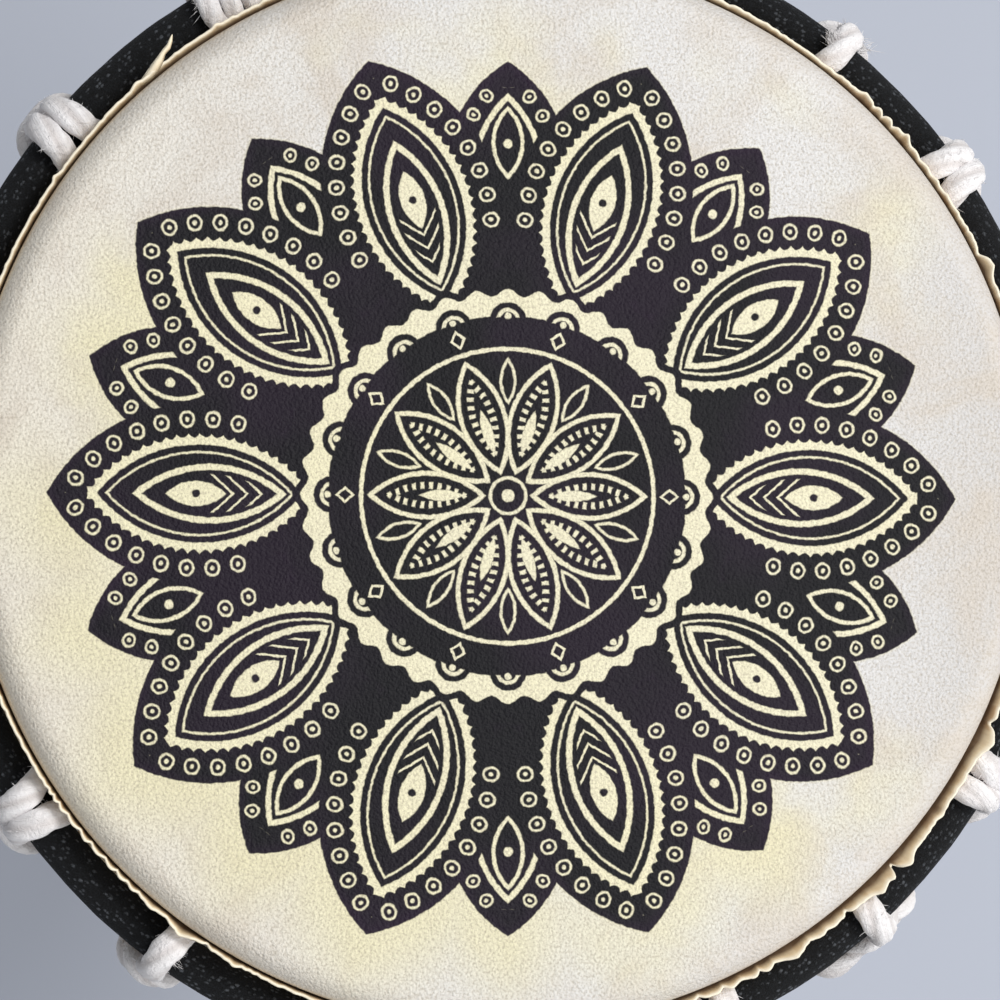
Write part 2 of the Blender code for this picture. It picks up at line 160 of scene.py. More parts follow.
class Paint:
    """One material and its nodes."""

    def __init__(self, name, **constants):
        self.material = bpy.data.materials.new(name)
        self.material.use_nodes = True
        self.tree = self.material.node_tree
        self.shader = self.tree.nodes["Principled BSDF"]
        for socket, value in constants.items():
            self.shader.inputs[socket.replace("_", " ")].default_value = value

    def node(self, kind, settings=None, inputs=None, output=0):
        """A node with its settings and its sockets filled in, as the number or colour of one output."""
        made = self.tree.nodes.new(kind)
        for key, value in (settings or {}).items():
            setattr(made, key, value)
        for key, value in (inputs or {}).items():
            if isinstance(value, Number):
                self.tree.links.new(value.socket, made.inputs[key])
            else:
                made.inputs[key].default_value = value
        return Number(self, made.outputs[output])

    def math(self, operation, *values, clamp=False):
        settings = {"operation": operation, "use_clamp": clamp}
        return self.node("ShaderNodeMath", settings, dict(enumerate(values)))

    def distance(self, x, y):
        return self.math("SQRT", x * x + y * y)

    def angle(self, x, y):
        return self.math("ARCTAN2", y, x)

    def clamp(self, value):
        return self.math("ADD", value, 0.0, clamp=True)

    def place(self):
        """The object's own coordinates in millimetres, as a vector and as three numbers."""
        here = self.node("ShaderNodeTexCoord", output="Object")
        scaled = self.node("ShaderNodeVectorMath", {"operation": "SCALE"}, {0: here, "Scale": 1 / MM})
        return scaled, [self.node("ShaderNodeSeparateXYZ", {}, {0: scaled}, axis) for axis in range(3)]

    def vector(self, x, y, z):
        return self.node("ShaderNodeCombineXYZ", {}, {0: x, 1: y, 2: z})

    def noise(self, where, scale, detail=3.0, roughness=0.5, distortion=0.0):
        inputs = {"Vector": where, "Scale": scale, "Detail": detail, "Roughness": roughness}
        return self.node("ShaderNodeTexNoise", {}, {**inputs, "Distortion": distortion})

    def cells(self, where, scale, output="Distance", randomness=1.0):
        inputs = {"Vector": where, "Scale": scale, "Randomness": randomness}
        return self.node("ShaderNodeTexVoronoi", {}, inputs, output)

    def attribute(self, name, output="Fac"):
        """What the piece's mesh carries under this name."""
        return self.node("ShaderNodeAttribute", {"attribute_name": name}, output=output)

    def mix(self, factor, first, second):
        """Two colours, each an (r, g, b) or a link, mixed."""
        first, second = [c if isinstance(c, Number) else (*c, 1.0) for c in (first, second)]
        return self.node("ShaderNodeMix", {"data_type": "RGBA"}, {0: factor, 6: first, 7: second}, 2)

    def layered(self, colour, *layers):
        """A colour with others laid over it in turn, each given as an amount and a colour."""
        for amount, over in layers:
            colour = self.mix(amount, colour, over)
        return colour

    def step(self, value, low, high):
        """0 below low, 1 above high, and a smooth way between them."""
        inputs = {"Value": value, "From Min": low, "From Max": high}
        return self.node("ShaderNodeMapRange", {"interpolation_type": "SMOOTHSTEP"}, inputs)

    def bump(self, height, distance, strength=1.0):
        inputs = {"Height": height, "Distance": distance, "Strength": strength}
        return self.node("ShaderNodeBump", {}, inputs)

    def finish(self, **links):
        """Feeds what varies over the surface and returns the material."""
        for socket, value in links.items():
            self.tree.links.new(value.socket, self.shader.inputs[socket.replace("_", " ")])
        return self.material


def petal(paint, along, across, inner, outer, half_width):
    """A pointed leaf between two radii: the distance outside its edge, and the way along that edge."""
    half_length = (outer - inner) / 2
    round_radius = (half_length**2 + half_width**2) / (2 * half_width)
    middle = (outer + inner) / 2
    from_middle = along - middle
    from_centre = across + (round_radius - half_width)
    distance = paint.distance(from_middle, from_centre) - round_radius
    way = paint.angle(from_centre, from_middle) * round_radius
    return distance, way


def folded(paint, x, y, count, turn=0.0):
    """Polar folding into one of count equal petals: the way out along its middle and the way across."""
    radius = paint.distance(x, y)
    step = 2 * math.pi / count
    angle = (paint.angle(x, y) + (math.pi + step / 2 - turn)) % step - step / 2
    return radius * paint.math("COSINE", angle), abs(radius * paint.math("SINE", angle)), radius


def ornament(paint, x, y):
    """The printed rosette: how much dark ink there is, and the distance outside its outline."""
    soft = 0.16

    def inside(distance):
        return paint.step(distance, soft, -soft)

    def band(distance, middle, half):
        return inside(abs(distance - middle) - half)

    def beads(distance, way, middle, pitch, size):
        """Little rings with a dot in each, in a row along a petal's edge."""
        off = way % pitch - pitch / 2
        away = paint.distance(off, distance - middle)
        return band(away, size, 0.22) | inside(away - size * 0.32)

    leaves = 10
    along, across, radius = folded(paint, x, y, leaves)
    front, front_way = petal(paint, along, across, 29, 84.6, 16.6)
    core, _ = petal(paint, along, across, 41, 69, 5.4)
    drop, _ = petal(paint, along, across, 52, 63, 2.3)
    scallop = abs(paint.math("SINE", front_way * (math.pi / 2.6))) * 0.7
    slanted = along - across * 1.1
    front_cut = (
        beads(front, front_way, -2.9, 5.2, 1.35) & inside(49.0 - radius) & inside(radius - 81.2)
        | inside(front + 5.6 + scallop) & inside(-7.6 - front)
        | band(front, -9.0, 0.2)
        | band(core, -0.5, 0.55)
        | inside(drop) & inside(0.75 - paint.distance(along - 57.5, across))
        | inside(core + 1.9) & inside(abs(slanted % 2.6 - 1.3) - 0.28) & inside(slanted - 51)
    )

    along_back, across_back, _ = folded(paint, x, y, leaves, math.pi / leaves)
    back, back_way = petal(paint, along_back, across_back, 40, 81.0, 11.5)
    eye, _ = petal(paint, along_back, across_back, 59, 72.5, 3.0)
    back_cut = (
        beads(back, back_way, -2.4, 4.8, 1.15) & inside(radius - 76.0)
        | band(back, -5.4, 0.5)
        | band(eye, -0.3, 0.35)
        | inside(paint.distance(along_back - 65.5, across_back) - 0.85)
    ) & inside(57.0 - radius)

    arches, arches_across, _ = folded(paint, x, y, 2 * leaves)
    disc_edge = radius - 39.2 - 0.7 * paint.math("COSINE", paint.angle(x, y) * (4 * leaves))
    arch = paint.distance(arches - 32.6, arches_across) - 3.4
    diamond = abs(along - 30.2) + across * 1.2
    ring_cut = (
        inside(disc_edge + 1.5) & inside(33.4 - radius) & inside(-arch)
        | band(arch, -1.5, 0.34) & inside(33.2 - radius)
        | inside(paint.distance(arches - 33.4, arches_across) - 0.6)
        | band(radius, 27.2, 0.42)
        | band(diamond, 1.5, 0.34) & inside(28.4 - radius)
    )

    flower, flower_way = petal(paint, along, across, 4.2, 26.0, 4.4)
    kernel, _ = petal(paint, along, across, 8.2, 16.5, 1.0)
    gap, _ = petal(paint, along_back, across_back, 17.0, 25.6, 1.5)
    flower_cut = (
        band(flower, -0.35, 0.42)
        | inside(flower + 2.0) & inside(-3.2 - flower) & inside(abs(flower_way % 1.9 - 0.95) - 0.42)
        | inside(kernel)
        | band(radius, 3.3, 0.3)
        | inside(radius - 1.2)
        | band(gap, -0.2, 0.25)
    )

    cut = back_cut
    for over, place in ((front_cut, front), (ring_cut, disc_edge), (flower_cut, radius - 26.8)):
        within = inside(place)
        cut = cut * (1.0 - within) + over * within
    outline = front & back & (radius - 44.0)
    ink = inside(outline) * (1.0 - paint.clamp(cut))
    return ink, outline


def goat_skin(colours):
    """Dry stretched goat skin, finely pebbled, with the dark ornament printed on it. It carries painted light
    on its warmer left side, and painted shade on its right side and round its rim.
    """
    paint = Paint("goat_skin", Specular_IOR_Level=0.25)
    where, (x, y, z) = paint.place()
    wobble = paint.noise(where, 0.9, 2.0) - 0.5
    wobble_more = paint.noise(paint.vector(y, x, z), 0.9, 2.0) - 0.5
    ink, outline = ornament(paint, x + 0.4 + wobble * 0.5, y + 1.8 + wobble_more * 0.5)

    pebbles = paint.cells(where, 1.5)
    fine = paint.noise(where, 2.0, 3.0, 0.6)
    broad = paint.noise(where, 0.018, 4.0, 0.55)
    blotch = paint.noise(where, 0.05, 5.0, 0.6, 0.6)

    # Painted light: the skin is painted lighter, and warmer in tone, towards its left side.
    left = paint.step(x * -1.0 - y * 0.2, -10.0, 110.0)
    bleed = paint.step(broad, 0.44, 0.62) | paint.step(x * -0.6 - y * 0.8 + broad * 40.0, 50.0, 92.0)
    skin = paint.layered(
        colours.skin_pale,
        (left, colours.skin_warm_and_lit),
        # Painted shade: the skin is painted greyer and darker towards its right side.
        (paint.step(x, 50.0, 105.0) * 0.85, colours.skin_painted_shade),
        (paint.step(blotch, 0.42, 0.70) * 0.7, colours.skin_stain_and_rim_shade),
        (paint.step(outline, 17.0, 0.0) * bleed * 0.8, colours.print_halo),
        (paint.step(outline, 0.6, -0.6) * 0.85, colours.print_cream),
        (paint.step(fine, 0.54, 0.34) * 0.48, colours.skin_pore),
        (paint.step(pebbles, 0.25, 0.7) * 0.14, colours.skin_pore),
        # Painted shade round the rim, where the skin rolls down over the bearing edge, in the stains' colour.
        (paint.step(paint.distance(x, y), 92.0, 101.0) * 0.35, colours.skin_stain_and_rim_shade),
    )

    fringe = paint.step(outline, -2.4, -0.1) * 0.8
    purple = paint.step(paint.noise(where, 0.03, 2.0), 0.40, 0.62)
    dark = paint.layered(
        colours.ink,
        (paint.clamp(fringe * 0.4 + purple * 0.5), colours.ink_fringe),
        (paint.step(fine, 0.55, 0.75) * 0.25, colours.ink_worn),
    )
    colour = paint.mix(ink, skin, dark)
    roughness = 0.62 - ink * 0.10 + (fine - 0.5) * 0.25
    bump = paint.bump(pebbles * -0.5 + fine + blotch * 1.5 - ink * 0.06, 0.32 * MM, 0.85)
    return paint.finish(Base_Color=colour, Roughness=roughness, Normal=bump)


def trimmed_hide(colours):
    """The hide's folded margin: smooth, tan and slightly translucent, pale along its fresh cut edge, with
    painted shade in its pleats and down in the gap beside the head.
    """
    paint = Paint("trimmed_hide", Roughness=0.5)
    where, (x, y, z) = paint.place()
    angle = paint.angle(x, y) * 100.0
    streaks = paint.noise(paint.vector(angle, z * 0.25, 0.0), 0.55, 4.0, 0.6)
    # Painted shade in the margin's pleats: darker brown strokes at intervals round the drum.
    fold_shade = paint.noise(paint.vector(angle, z * 0.08, 0.0), 0.2, 2.0)
    mottle = paint.noise(where, 0.22, 4.0, 0.6)
    fine = paint.noise(where, 2.4, 3.0)
    colour = paint.layered(
        colours.collar_shade,
        (paint.step(streaks, 0.35, 0.65), colours.collar_tan),
        (paint.step(mottle, 0.4, 0.7) * 0.5, colours.collar_pale),
        # Painted shade of the pleats.
        (paint.step(fold_shade, 0.56, 0.68) * 0.5, colours.collar_fold_shade),
        # Painted shade down in the gap between the margin and the head.
        (paint.clamp(paint.attribute("painted_gap_shade")) * 0.9, colours.collar_gap_shade),
        (paint.clamp(paint.attribute("cut_edge")), colours.cut_edge),
    )
    bump = paint.bump(streaks * 0.8 + fine * 0.5, 0.2 * MM, 0.6)
    return paint.finish(Base_Color=colour, Roughness=0.45 + mottle * 0.2, Normal=bump)


def ring_cloth(name, radius, depth, colours):
    """Black woven cover with painted shade in the hollows of its weave, and small raised flecks of lighter
    thread that also carry a painted highlight.
    """
    paint = Paint(name, Sheen_Weight=0.03, Specular_IOR_Level=0.25)
    where, (x, y, z) = paint.place()
    out = paint.distance(x, y) - radius
    up = z - (TOP - depth)
    along = paint.angle(x, y) * radius
    around = paint.angle(out, up) * WRAPPED_ROD
    fibre = paint.noise(where, 3.2, 4.0, 0.65)
    weave = paint.vector((along + fibre * 1.1) / 1.1, (around + fibre * 0.9) / 0.8, 0.0)
    chance = paint.cells(weave, 1.0, "Color", randomness=0.7)
    off = paint.cells(weave, 1.0, randomness=0.7)
    dome = paint.clamp(1.0 - off * off * 5.0 / (chance * 1.1 + 0.3))
    patches = paint.noise(where, 0.12, 3.0)
    # The raised flecks: lighter threads of the weave, partly painted highlight where they rise.
    lift = paint.step(dome, 0.05, 0.85) * paint.step(chance, 0.2, 0.75) * paint.step(patches, 0.22, 0.46)
    dust = paint.step(paint.noise(where, 1.9, 5.0, 0.7), 0.68, 0.76)
    colour = paint.layered(
        # Painted shade in the hollows of the weave, and the cloth's own black on its raised fibres.
        colours.cloth_hollow_shade,
        (paint.step(fibre, 0.4, 0.66), colours.cloth),
        # Lighter threads with a painted highlight on the raised flecks.
        (lift, colours.cloth_fleck_and_highlight),
        (dust * 0.6, colours.cloth_fleck_and_highlight),
    )
    bump = paint.bump(dome * lift * 1.1 + fibre, 0.4 * MM, 0.9)
    return paint.finish(Base_Color=colour, Roughness=0.85 - lift * 0.35, Normal=bump)


def white_rope(colours):
    """Soft white rope: long fibres that follow the lay, painted grey-beige shade in its creases and in the
    hollows between its fibres, and a little real soil.
    """
    paint = Paint("white_rope", Roughness=0.9, Specular_IOR_Level=0.35, Sheen_Weight=0.4, Sheen_Roughness=0.6)
    where, _ = paint.place()
    turn = paint.attribute("rope_turn", "Vector")
    fibres = paint.noise(turn, 6.5, 4.0, 0.65)
    strands = paint.noise(turn, 1.5, 2.0)
    soil = paint.noise(where, 0.11, 4.0, 0.6)
    matted = paint.noise(where, 0.8, 5.0, 0.65, 0.8)
    colour = paint.layered(
        colours.rope,
        # Painted shade in the creases between the rope's strands, read from the grooves of its mesh.
        (paint.clamp(paint.attribute("rope_crease_shade")) * 0.6, colours.rope_crease_shade),
        # Painted shade in the hollows between the fibres and between the matted lumps.
        (paint.step(fibres, 0.54, 0.32) * 0.5, colours.rope_soil_and_shade),
        (paint.step(matted, 0.50, 0.34) * 0.35, colours.rope_soil_and_shade),
        # Real soil, in the same colour as the painted shade.
        (paint.step(soil, 0.5, 0.74) * 0.2, colours.rope_soil_and_shade),
    )
    bump = paint.bump(fibres * 0.9 + strands * 0.7 + matted * 1.7, 0.5 * MM, 0.8)
    return paint.finish(Base_Color=colour, Normal=bump)


def turned_wood(colours):
    """Dark oiled hardwood, turned: long grain up the shell, pores, and fine tool rings."""
    paint = Paint("turned_wood", Coat_Roughness=0.3)
    where, (x, y, z) = paint.place()
    warp = paint.noise(where, 0.010, 3.0) - 0.5
    stretched = paint.vector(x + warp * 40.0, y + warp * 26.0, z * 0.07)
    grain = paint.noise(stretched, 0.16, 6.0, 0.6)
    fine_grain = paint.noise(paint.vector(x, y, z * 0.03), 1.3, 4.0, 0.6)
    heart = paint.distance(x - 55.0, y + 30.0) + warp * 70.0
    rings = paint.math("SINE", heart * 0.62) * 0.5 + 0.5
    pores = paint.step(paint.noise(paint.vector(x, y, z * 0.045), 2.6, 2.0), 0.64, 0.72)
    colour = paint.layered(
        colours.wood_dark,
        (paint.step(grain, 0.3, 0.7), colours.wood),
        (paint.step(rings, 0.5, 1.0) * 0.35, colours.wood_dark),
        (paint.step(fine_grain, 0.55, 0.72) * 0.35, colours.wood_light),
        (pores * 0.75, colours.wood_pore),
    )
    tool = paint.math("SINE", z * 3.1 + grain * 3.0)
    bump = paint.bump(fine_grain * 0.6 - pores * 1.4 + tool * 0.10, 0.12 * MM, 0.7)
    roughness = 0.36 + grain * 0.18 + pores * 0.2
    return paint.finish(Base_Color=colour, Roughness=roughness, Coat_Weight=0.45 - pores * 0.4, Normal=bump)


def black_iron(colours):
    """Blackened iron rod with a little rust."""
    paint = Paint("black_iron", Metallic=0.85)
    where, _ = paint.place()
    rust = paint.step(paint.noise(where, 0.4, 5.0, 0.65), 0.55, 0.7)
    scale = paint.noise(where, 2.5, 4.0)
    colour = paint.mix(rust * 0.6, colours.iron, colours.rust)
    return paint.finish(Base_Color=colour, Roughness=0.4 + rust * 0.4, Normal=paint.bump(scale, 0.08 * MM))


def studio_floor(colours):
    """Plain matt studio paper."""
    paint = Paint("studio_floor", Roughness=0.9)
    where, _ = paint.place()
    tone = paint.noise(where, 0.02, 3.0)
    colour = paint.mix(tone * 0.12, colours.floor, PAPER_MOTTLE)
    return paint.finish(Base_Color=colour)


def hand_colour(name, description, red, green, blue):
    """A colour setting, given as the 0 to 255 values that a picture would show."""
    linear = [(((c / 255) + 0.055) / 1.055) ** 2.4 for c in (red, green, blue)]
    return FloatVectorProperty(name=name, description=description, subtype="COLOR", size=3, min=0, max=1,
                               default=linear)


class DrumColours(bpy.types.PropertyGroup):
    """The colours of the drum's surfaces and of the studio."""

    skin_pale: hand_colour("Pale skin", "The goat skin where it is palest", 226, 225, 225)
    # Painted light: the left side of the skin, lighter and warmer in tone.
    skin_warm_and_lit: hand_colour("Warm skin", "The goat skin on its warmer side", 234, 228, 215)
    # Painted shade: the skin's right side, greyer and darker.
    skin_painted_shade: hand_colour("Grey skin", "The goat skin towards its duller side", 206, 204, 204)
    # Real stains of the skin, also used as painted shade round the rim.
    skin_stain_and_rim_shade: hand_colour("Stained skin", "Uneven, darker places of the skin", 212, 202, 190)
    skin_pore: hand_colour("Pores", "The small hollows of the grain", 172, 161, 144)
    print_halo: hand_colour("Print halo", "The yellow tint round the print", 236, 229, 188)
    print_cream: hand_colour("Print cut-outs", "The skin inside the print", 241, 235, 200)
    ink: hand_colour("Ink", "The printed ornament", 11, 10, 17)
    ink_fringe: hand_colour("Ink fringe", "The purple cast of the ink at its edges", 36, 20, 42)
    ink_worn: hand_colour("Worn ink", "The ink where the grain shows through", 37, 36, 44)
    collar_tan: hand_colour("Collar", "The folded margin of the hide", 240, 220, 184)
    collar_shade: hand_colour("Collar streaks", "The darker streaks of the margin", 222, 196, 156)
    collar_pale: hand_colour("Pale collar", "The paler mottling of the margin", 238, 224, 194)
    # Painted shade in the creases of the margin.
    collar_fold_shade: hand_colour("Collar folds", "The margin where it is creased", 184, 142, 96)
    # Painted shade: the margin down in the gap beside the head.
    collar_gap_shade: hand_colour("Inside the collar", "The margin down beside the head", 92, 62, 38)
    cut_edge: hand_colour("Cut edge", "The fresh cut edge of the hide", 246, 236, 214)
    cloth: hand_colour("Ring cloth", "The woven cover of the rings", 25, 27, 31)
    # Painted shade in the hollows of the weave.
    cloth_hollow_shade: hand_colour("Cloth shade", "The hollows of the weave", 5, 6, 8)
    # Lighter threads of the weave and real dust, and also painted highlight on the raised flecks.
    cloth_fleck_and_highlight: hand_colour("Cloth flecks", "The raised threads that catch the light", 82, 86, 92)
    rope: hand_colour("Rope", "The white rope", 253, 251, 253)
    # Real soil on the rope, and also painted shade between its fibres and lumps.
    rope_soil_and_shade: hand_colour("Rope shade", "Soiled and shaded fibres", 236, 231, 231)
    # Painted shade between the rope's strands.
    rope_crease_shade: hand_colour("Rope creases", "Between the rope's strands", 200, 189, 185)
    wood: hand_colour("Wood", "The oiled shell", 118, 68, 42)
    wood_dark: hand_colour("Dark grain", "The darker grain of the shell", 72, 38, 24)
    wood_light: hand_colour("Light grain", "The lighter fibres of the shell", 152, 96, 60)
    wood_pore: hand_colour("Wood pores", "The open pores of the shell", 38, 20, 14)
    iron: hand_colour("Iron", "The rings' rod", 44, 44, 46)
    rust: hand_colour("Rust", "Rust on the rod", 98, 58, 38)
    floor: hand_colour("Floor", "The studio paper", 190, 196, 210)


class DrumSizes(bpy.types.PropertyGroup):
    """Size and light strengths that a user would change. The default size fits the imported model."""

    head_radius: FloatProperty(
        name="Head radius", description="Radius of the playing head", default=HEAD_RADIUS, unit="LENGTH")
    key_strength: FloatProperty(
        name="Key light", description="Strength of the large soft light", default=10.6, unit="POWER")
    room_strength: FloatProperty(
        name="Room light", description="Strength of the even light from all round", default=0.42)


def deselect_all():
    if bpy.context.mode != "OBJECT":
        bpy.ops.object.mode_set(mode="OBJECT")
    bpy.ops.object.select_all(action="DESELECT")


def hermite(t, first, leaving, second, arriving):
    """A smooth way from one value to another as t goes from 0 to 1, with the slopes at both ends."""
    start = (2 * t**3 - 3 * t**2 + 1) * first + (t**3 - 2 * t**2 + t) * leaving
    return start + (3 * t**2 - 2 * t**3) * second + (t**3 - t**2) * arriving


def smooth_through(stations, wanted):
    """Values at the wanted places, on a smooth curve through (place, value) stations."""
    place, value = np.array(stations, float).T
    slope = np.gradient(value, place)
    below = np.clip(np.searchsorted(place, wanted) - 1, 0, len(place) - 2)
    span = place[below + 1] - place[below]
    t = (wanted - place[below]) / span
    return hermite(t, value[below], span * slope[below], value[below + 1], span * slope[below + 1])


def arc(centre, radius, first, last, count):
    """Points of an arc in the section plane. Angles are in degrees, from outward towards up."""
    angles = np.radians(np.linspace(first, last, count))
    return [(centre[0] + radius * math.cos(a), centre[1] + radius * math.sin(a)) for a in angles]


def turned(name, outline, segments):
    """A turned piece: a circle extruded along an outline of (radius, height) points in millimetres."""
    deselect_all()
    radius, height = outline[0]
    bpy.ops.mesh.primitive_circle_add(vertices=segments, radius=radius * MM, location=(0, 0, height * MM))
    thing = bpy.context.object
    thing.name = thing.data.name = name
    bpy.ops.object.mode_set(mode="EDIT")
    bpy.ops.mesh.select_mode(type="EDGE")
    bpy.ops.mesh.select_all(action="SELECT")
    for (r, z), (next_r, next_z) in zip(outline, outline[1:]):
        bpy.ops.mesh.extrude_edges_move(TRANSFORM_OT_translate={"value": (0, 0, (next_z - z) * MM)})
        bpy.ops.transform.resize(value=(next_r / r, next_r / r, 1), center_override=(0, 0, next_z * MM))
    return thing


def close_turned(thing, join_ends):
    """Finishes a turned piece, whose two open rims are joined unless its poles are closed already."""
    if join_ends:
        bpy.ops.mesh.select_all(action="SELECT")
        bpy.ops.mesh.region_to_loop()
        bpy.ops.mesh.bridge_edge_loops()
    bpy.ops.mesh.select_all(action="SELECT")
    bpy.ops.mesh.normals_make_consistent(inside=False)
    bpy.ops.object.mode_set(mode="OBJECT")
    bpy.ops.object.transform_apply(location=True, rotation=True, scale=True)
    bpy.ops.object.shade_smooth_by_angle(angle=math.radians(40))
    return thing


def linked(name, mesh):
    """A new object of a finished mesh, smooth, in the scene."""
    mesh.shade_smooth()
    thing = bpy.data.objects.new(name, mesh)
    bpy.context.scene.collection.objects.link(thing)
    return thing


def join_rings(shape, rings):
    """Faces between each ring of corners and the next."""
    for ring, after in zip(rings, rings[1:]):
        for a, b, c, d in zip(ring, ring[1:] + ring[:1], after[1:] + after[:1], after):
            shape.faces.new((a, b, c, d))


def finished(name, shape):
    """A new object of a shape that was made in code, with its faces outwards."""
    bmesh.ops.recalc_face_normals(shape, faces=shape.faces)
    mesh = bpy.data.meshes.new(name)
    shape.to_mesh(mesh)
    shape.free()
    return linked(name, mesh)


def dress(thing, material, body, slot, *nodes):
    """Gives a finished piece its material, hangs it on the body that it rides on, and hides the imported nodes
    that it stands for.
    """
    thing.data.materials.clear()
    thing.data.materials.append(material)
    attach(thing, body)
    if nodes:
        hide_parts(*nodes)


def shell_radius(depth):
    return float(smooth_through(OUTSIDE, np.array([float(depth)]))[0])


def lower_ring_place():
    """Radius of the lower ring and the lean of the bowl beside it."""
    rise = shell_radius(LOWER_DEPTH - 4) - shell_radius(LOWER_DEPTH + 4)
    lean = math.atan2(rise, 8)
    return shell_radius(LOWER_DEPTH) + LOWER_STANDOFF / math.cos(lean), lean


def hitch_degrees(number):
    numbers, degrees = zip(*HITCH_PLACES)
    return float(np.interp(number, numbers, degrees))


def loop_degrees(number):
    """The middle of the hanging loop that follows this hitch."""
    number %= HITCHES
    return (hitch_degrees(number) + hitch_degrees(number + 1)) / 2


def on_ring(along, angle, thick, wide=2.7, lift=0.0):
    """A rope point lying on the wrapped crown ring: distance along it, angle round it, and the rope's half
    thickness and half width there. The angle runs from outward towards up."""
    turn = math.radians(angle)
    reach = WRAPPED_ROD + thick + lift
    return (along, reach * math.cos(turn), reach * math.sin(turn), thick, wide)


def mirrored(points):
    """The same points run the other way on the other side of the hitch."""
    return [(-along, *rest) for along, *rest in reversed(points)]


def single_hitch(stand_off):
    """One turn over the ring, held down by the rope's own crossing strand. The strands either side of it
    stand off the ring by this much more than usual."""
    raised = stand_off * 1.5
    return [
        (-5.6 - stand_off, 2.0 + stand_off, -17.0 + raised, 2.5, 2.7),
        (-5.0, 4.0 + stand_off * 0.5, -12.0 + raised * 0.4, 2.2, 2.5),
        (-4.0, 5.5, -7.9, 2.0, 2.4),
        (-1.6, 6.3, -6.0, 1.9, 2.4),
        (1.4, 6.1, -5.7, 1.9, 2.4),
        (3.7, 4.7, -6.5, 1.9, 2.4),
        on_ring(4.4, -90, 1.9, 2.5, 0.3),
        on_ring(3.7, -138, 1.2, 2.5, 0.2),
        on_ring(2.5, 180, 1.1, 2.5, 0.1),
        on_ring(1.5, 150, 1.4, 2.7, 0.1),
        on_ring(0.6, 122, 2.0, 2.7),
        on_ring(0.1, 90, 2.3, 2.8),
        on_ring(0, 45, 2.1, 2.8),
        on_ring(0, 0, 1.5, 2.75),
        on_ring(0.2, -42, 1.3, 2.6),
        (0.4, 2.4, -9.0, 1.4, 2.5),
        (1.2, 3.0 + stand_off * 0.5, -13.2 + raised * 0.4, 2.0, 2.6),
        (4.8 + stand_off, 1.8 + stand_off, -17.6 + raised, 2.6, 2.7),
    ]


def double_hitch():
    """Two turns side by side over the ring, held down by the bight that joins them."""
    half = [
        (-6.6, 1.8, -17.6, 2.6, 2.7),
        (-3.6, 3.2, -13.5, 2.0, 2.6),
        (-2.4, 2.4, -9.0, 1.5, 2.4),
        on_ring(-2.0, -42, 1.3, 2.4),
        on_ring(-1.9, 0, 1.5, 2.6),
        on_ring(-2.1, 45, 2.0, 2.7),
        on_ring(-2.7, 90, 2.2, 2.7),
        on_ring(-3.4, 122, 1.9, 2.6),
        on_ring(-4.2, 150, 1.4, 2.6, 0.1),
        on_ring(-4.9, 180, 1.1, 2.5, 0.1),
        on_ring(-5.8, -138, 1.2, 2.5, 0.2),
        on_ring(-6.0, -88, 1.9, 2.4, 0.3),
        (-4.9, 4.7, -6.6, 1.9, 2.4),
    ]
    return half + [(-2.2, 6.1, -6.0, 1.9, 2.4), (2.2, 6.1, -6.0, 1.9, 2.4)] + mirrored(half)


def round_turns(first, second):
    """Two plain turns round the ring, from a cut end below the first to the loop that leaves the second."""
    def turn(place):
        return [
            on_ring(place, -42, 1.8, 1.9),
            on_ring(place, 0, 1.95, 2.0),
            on_ring(place, 45, 2.0, 2.0),
            on_ring(place, 90, 1.95, 2.0),
            on_ring(place, 122, 1.6, 2.0),
            on_ring(place, 150, 1.2, 2.0, 0.1),
        ]

    middle = (first + second) / 2
    under = [
        on_ring(first * 0.75 + second * 0.25, 180, 1.1, 2.0, 0.1),
        on_ring(middle, -135, 1.2, 2.0, 0.2),
        on_ring(middle, -85, 1.7, 2.0, 0.2),
    ]
    leave = [
        on_ring(second, 180, 1.1, 2.0, 0.1),
        on_ring(second + 1.0, -135, 1.3, 2.1, 0.2),
        on_ring(second + 2.0, -85, 1.9, 2.3, 0.3),
        (second + 3.4, 2.6, -13.4, 2.1, 2.3),
    ]
    return [(first, 4.8, -16.8, 1.9, 2.0)] + turn(first) + under + turn(second) + leave


def round_drum(degrees, radius, depth, local):
    """World points of points measured along, out from and up from a ring's middle. Each keeps the rope's half
    thickness and half width, and the direction that it is pressed in."""
    placed = []
    for along, out, up, thick, wide in local:
        angle = math.radians(degrees) + along / radius
        r = radius + out
        length = math.hypot(out, up)
        press = (out / length * math.cos(angle), out / length * math.sin(angle), up / length)
        place = (r * math.cos(angle), r * math.sin(angle), TOP - depth + up)
        placed.append((*place, thick, wide, *press))
    return placed


def loop_rope_route():
    """The rope on the crown ring, from its start at the joining hitch right round to its end there."""
    def at(degrees, local):
        return round_drum(degrees, CROWN_RADIUS, CROWN_DEPTH, local)

    def loop(number):
        half = [(-6.2, LOOP_OUT + 1.0, 6.2 - LOOP_DROP, 2.7, 2.7), (-3.4, LOOP_OUT, -LOOP_DROP, 2.6, 2.7)]
        return at(loop_degrees(number), half + mirrored(half))

    joint = hitch_degrees(JOINING_HITCH)
    points = at(joint, round_turns(*JOINING_TURNS)) + loop(JOINING_HITCH)
    for number in range(JOINING_HITCH + 1, JOINING_HITCH + HITCHES):
        stand_off = LOOSE_STAND_OFF if number == LOOSE_HITCH else 0
        local = single_hitch(stand_off) if number % 2 else double_hitch()
        points += at(hitch_degrees(number % HITCHES), local) + loop(number)
    return points + at(joint, mirrored(round_turns(*JOINING_TURNS)))


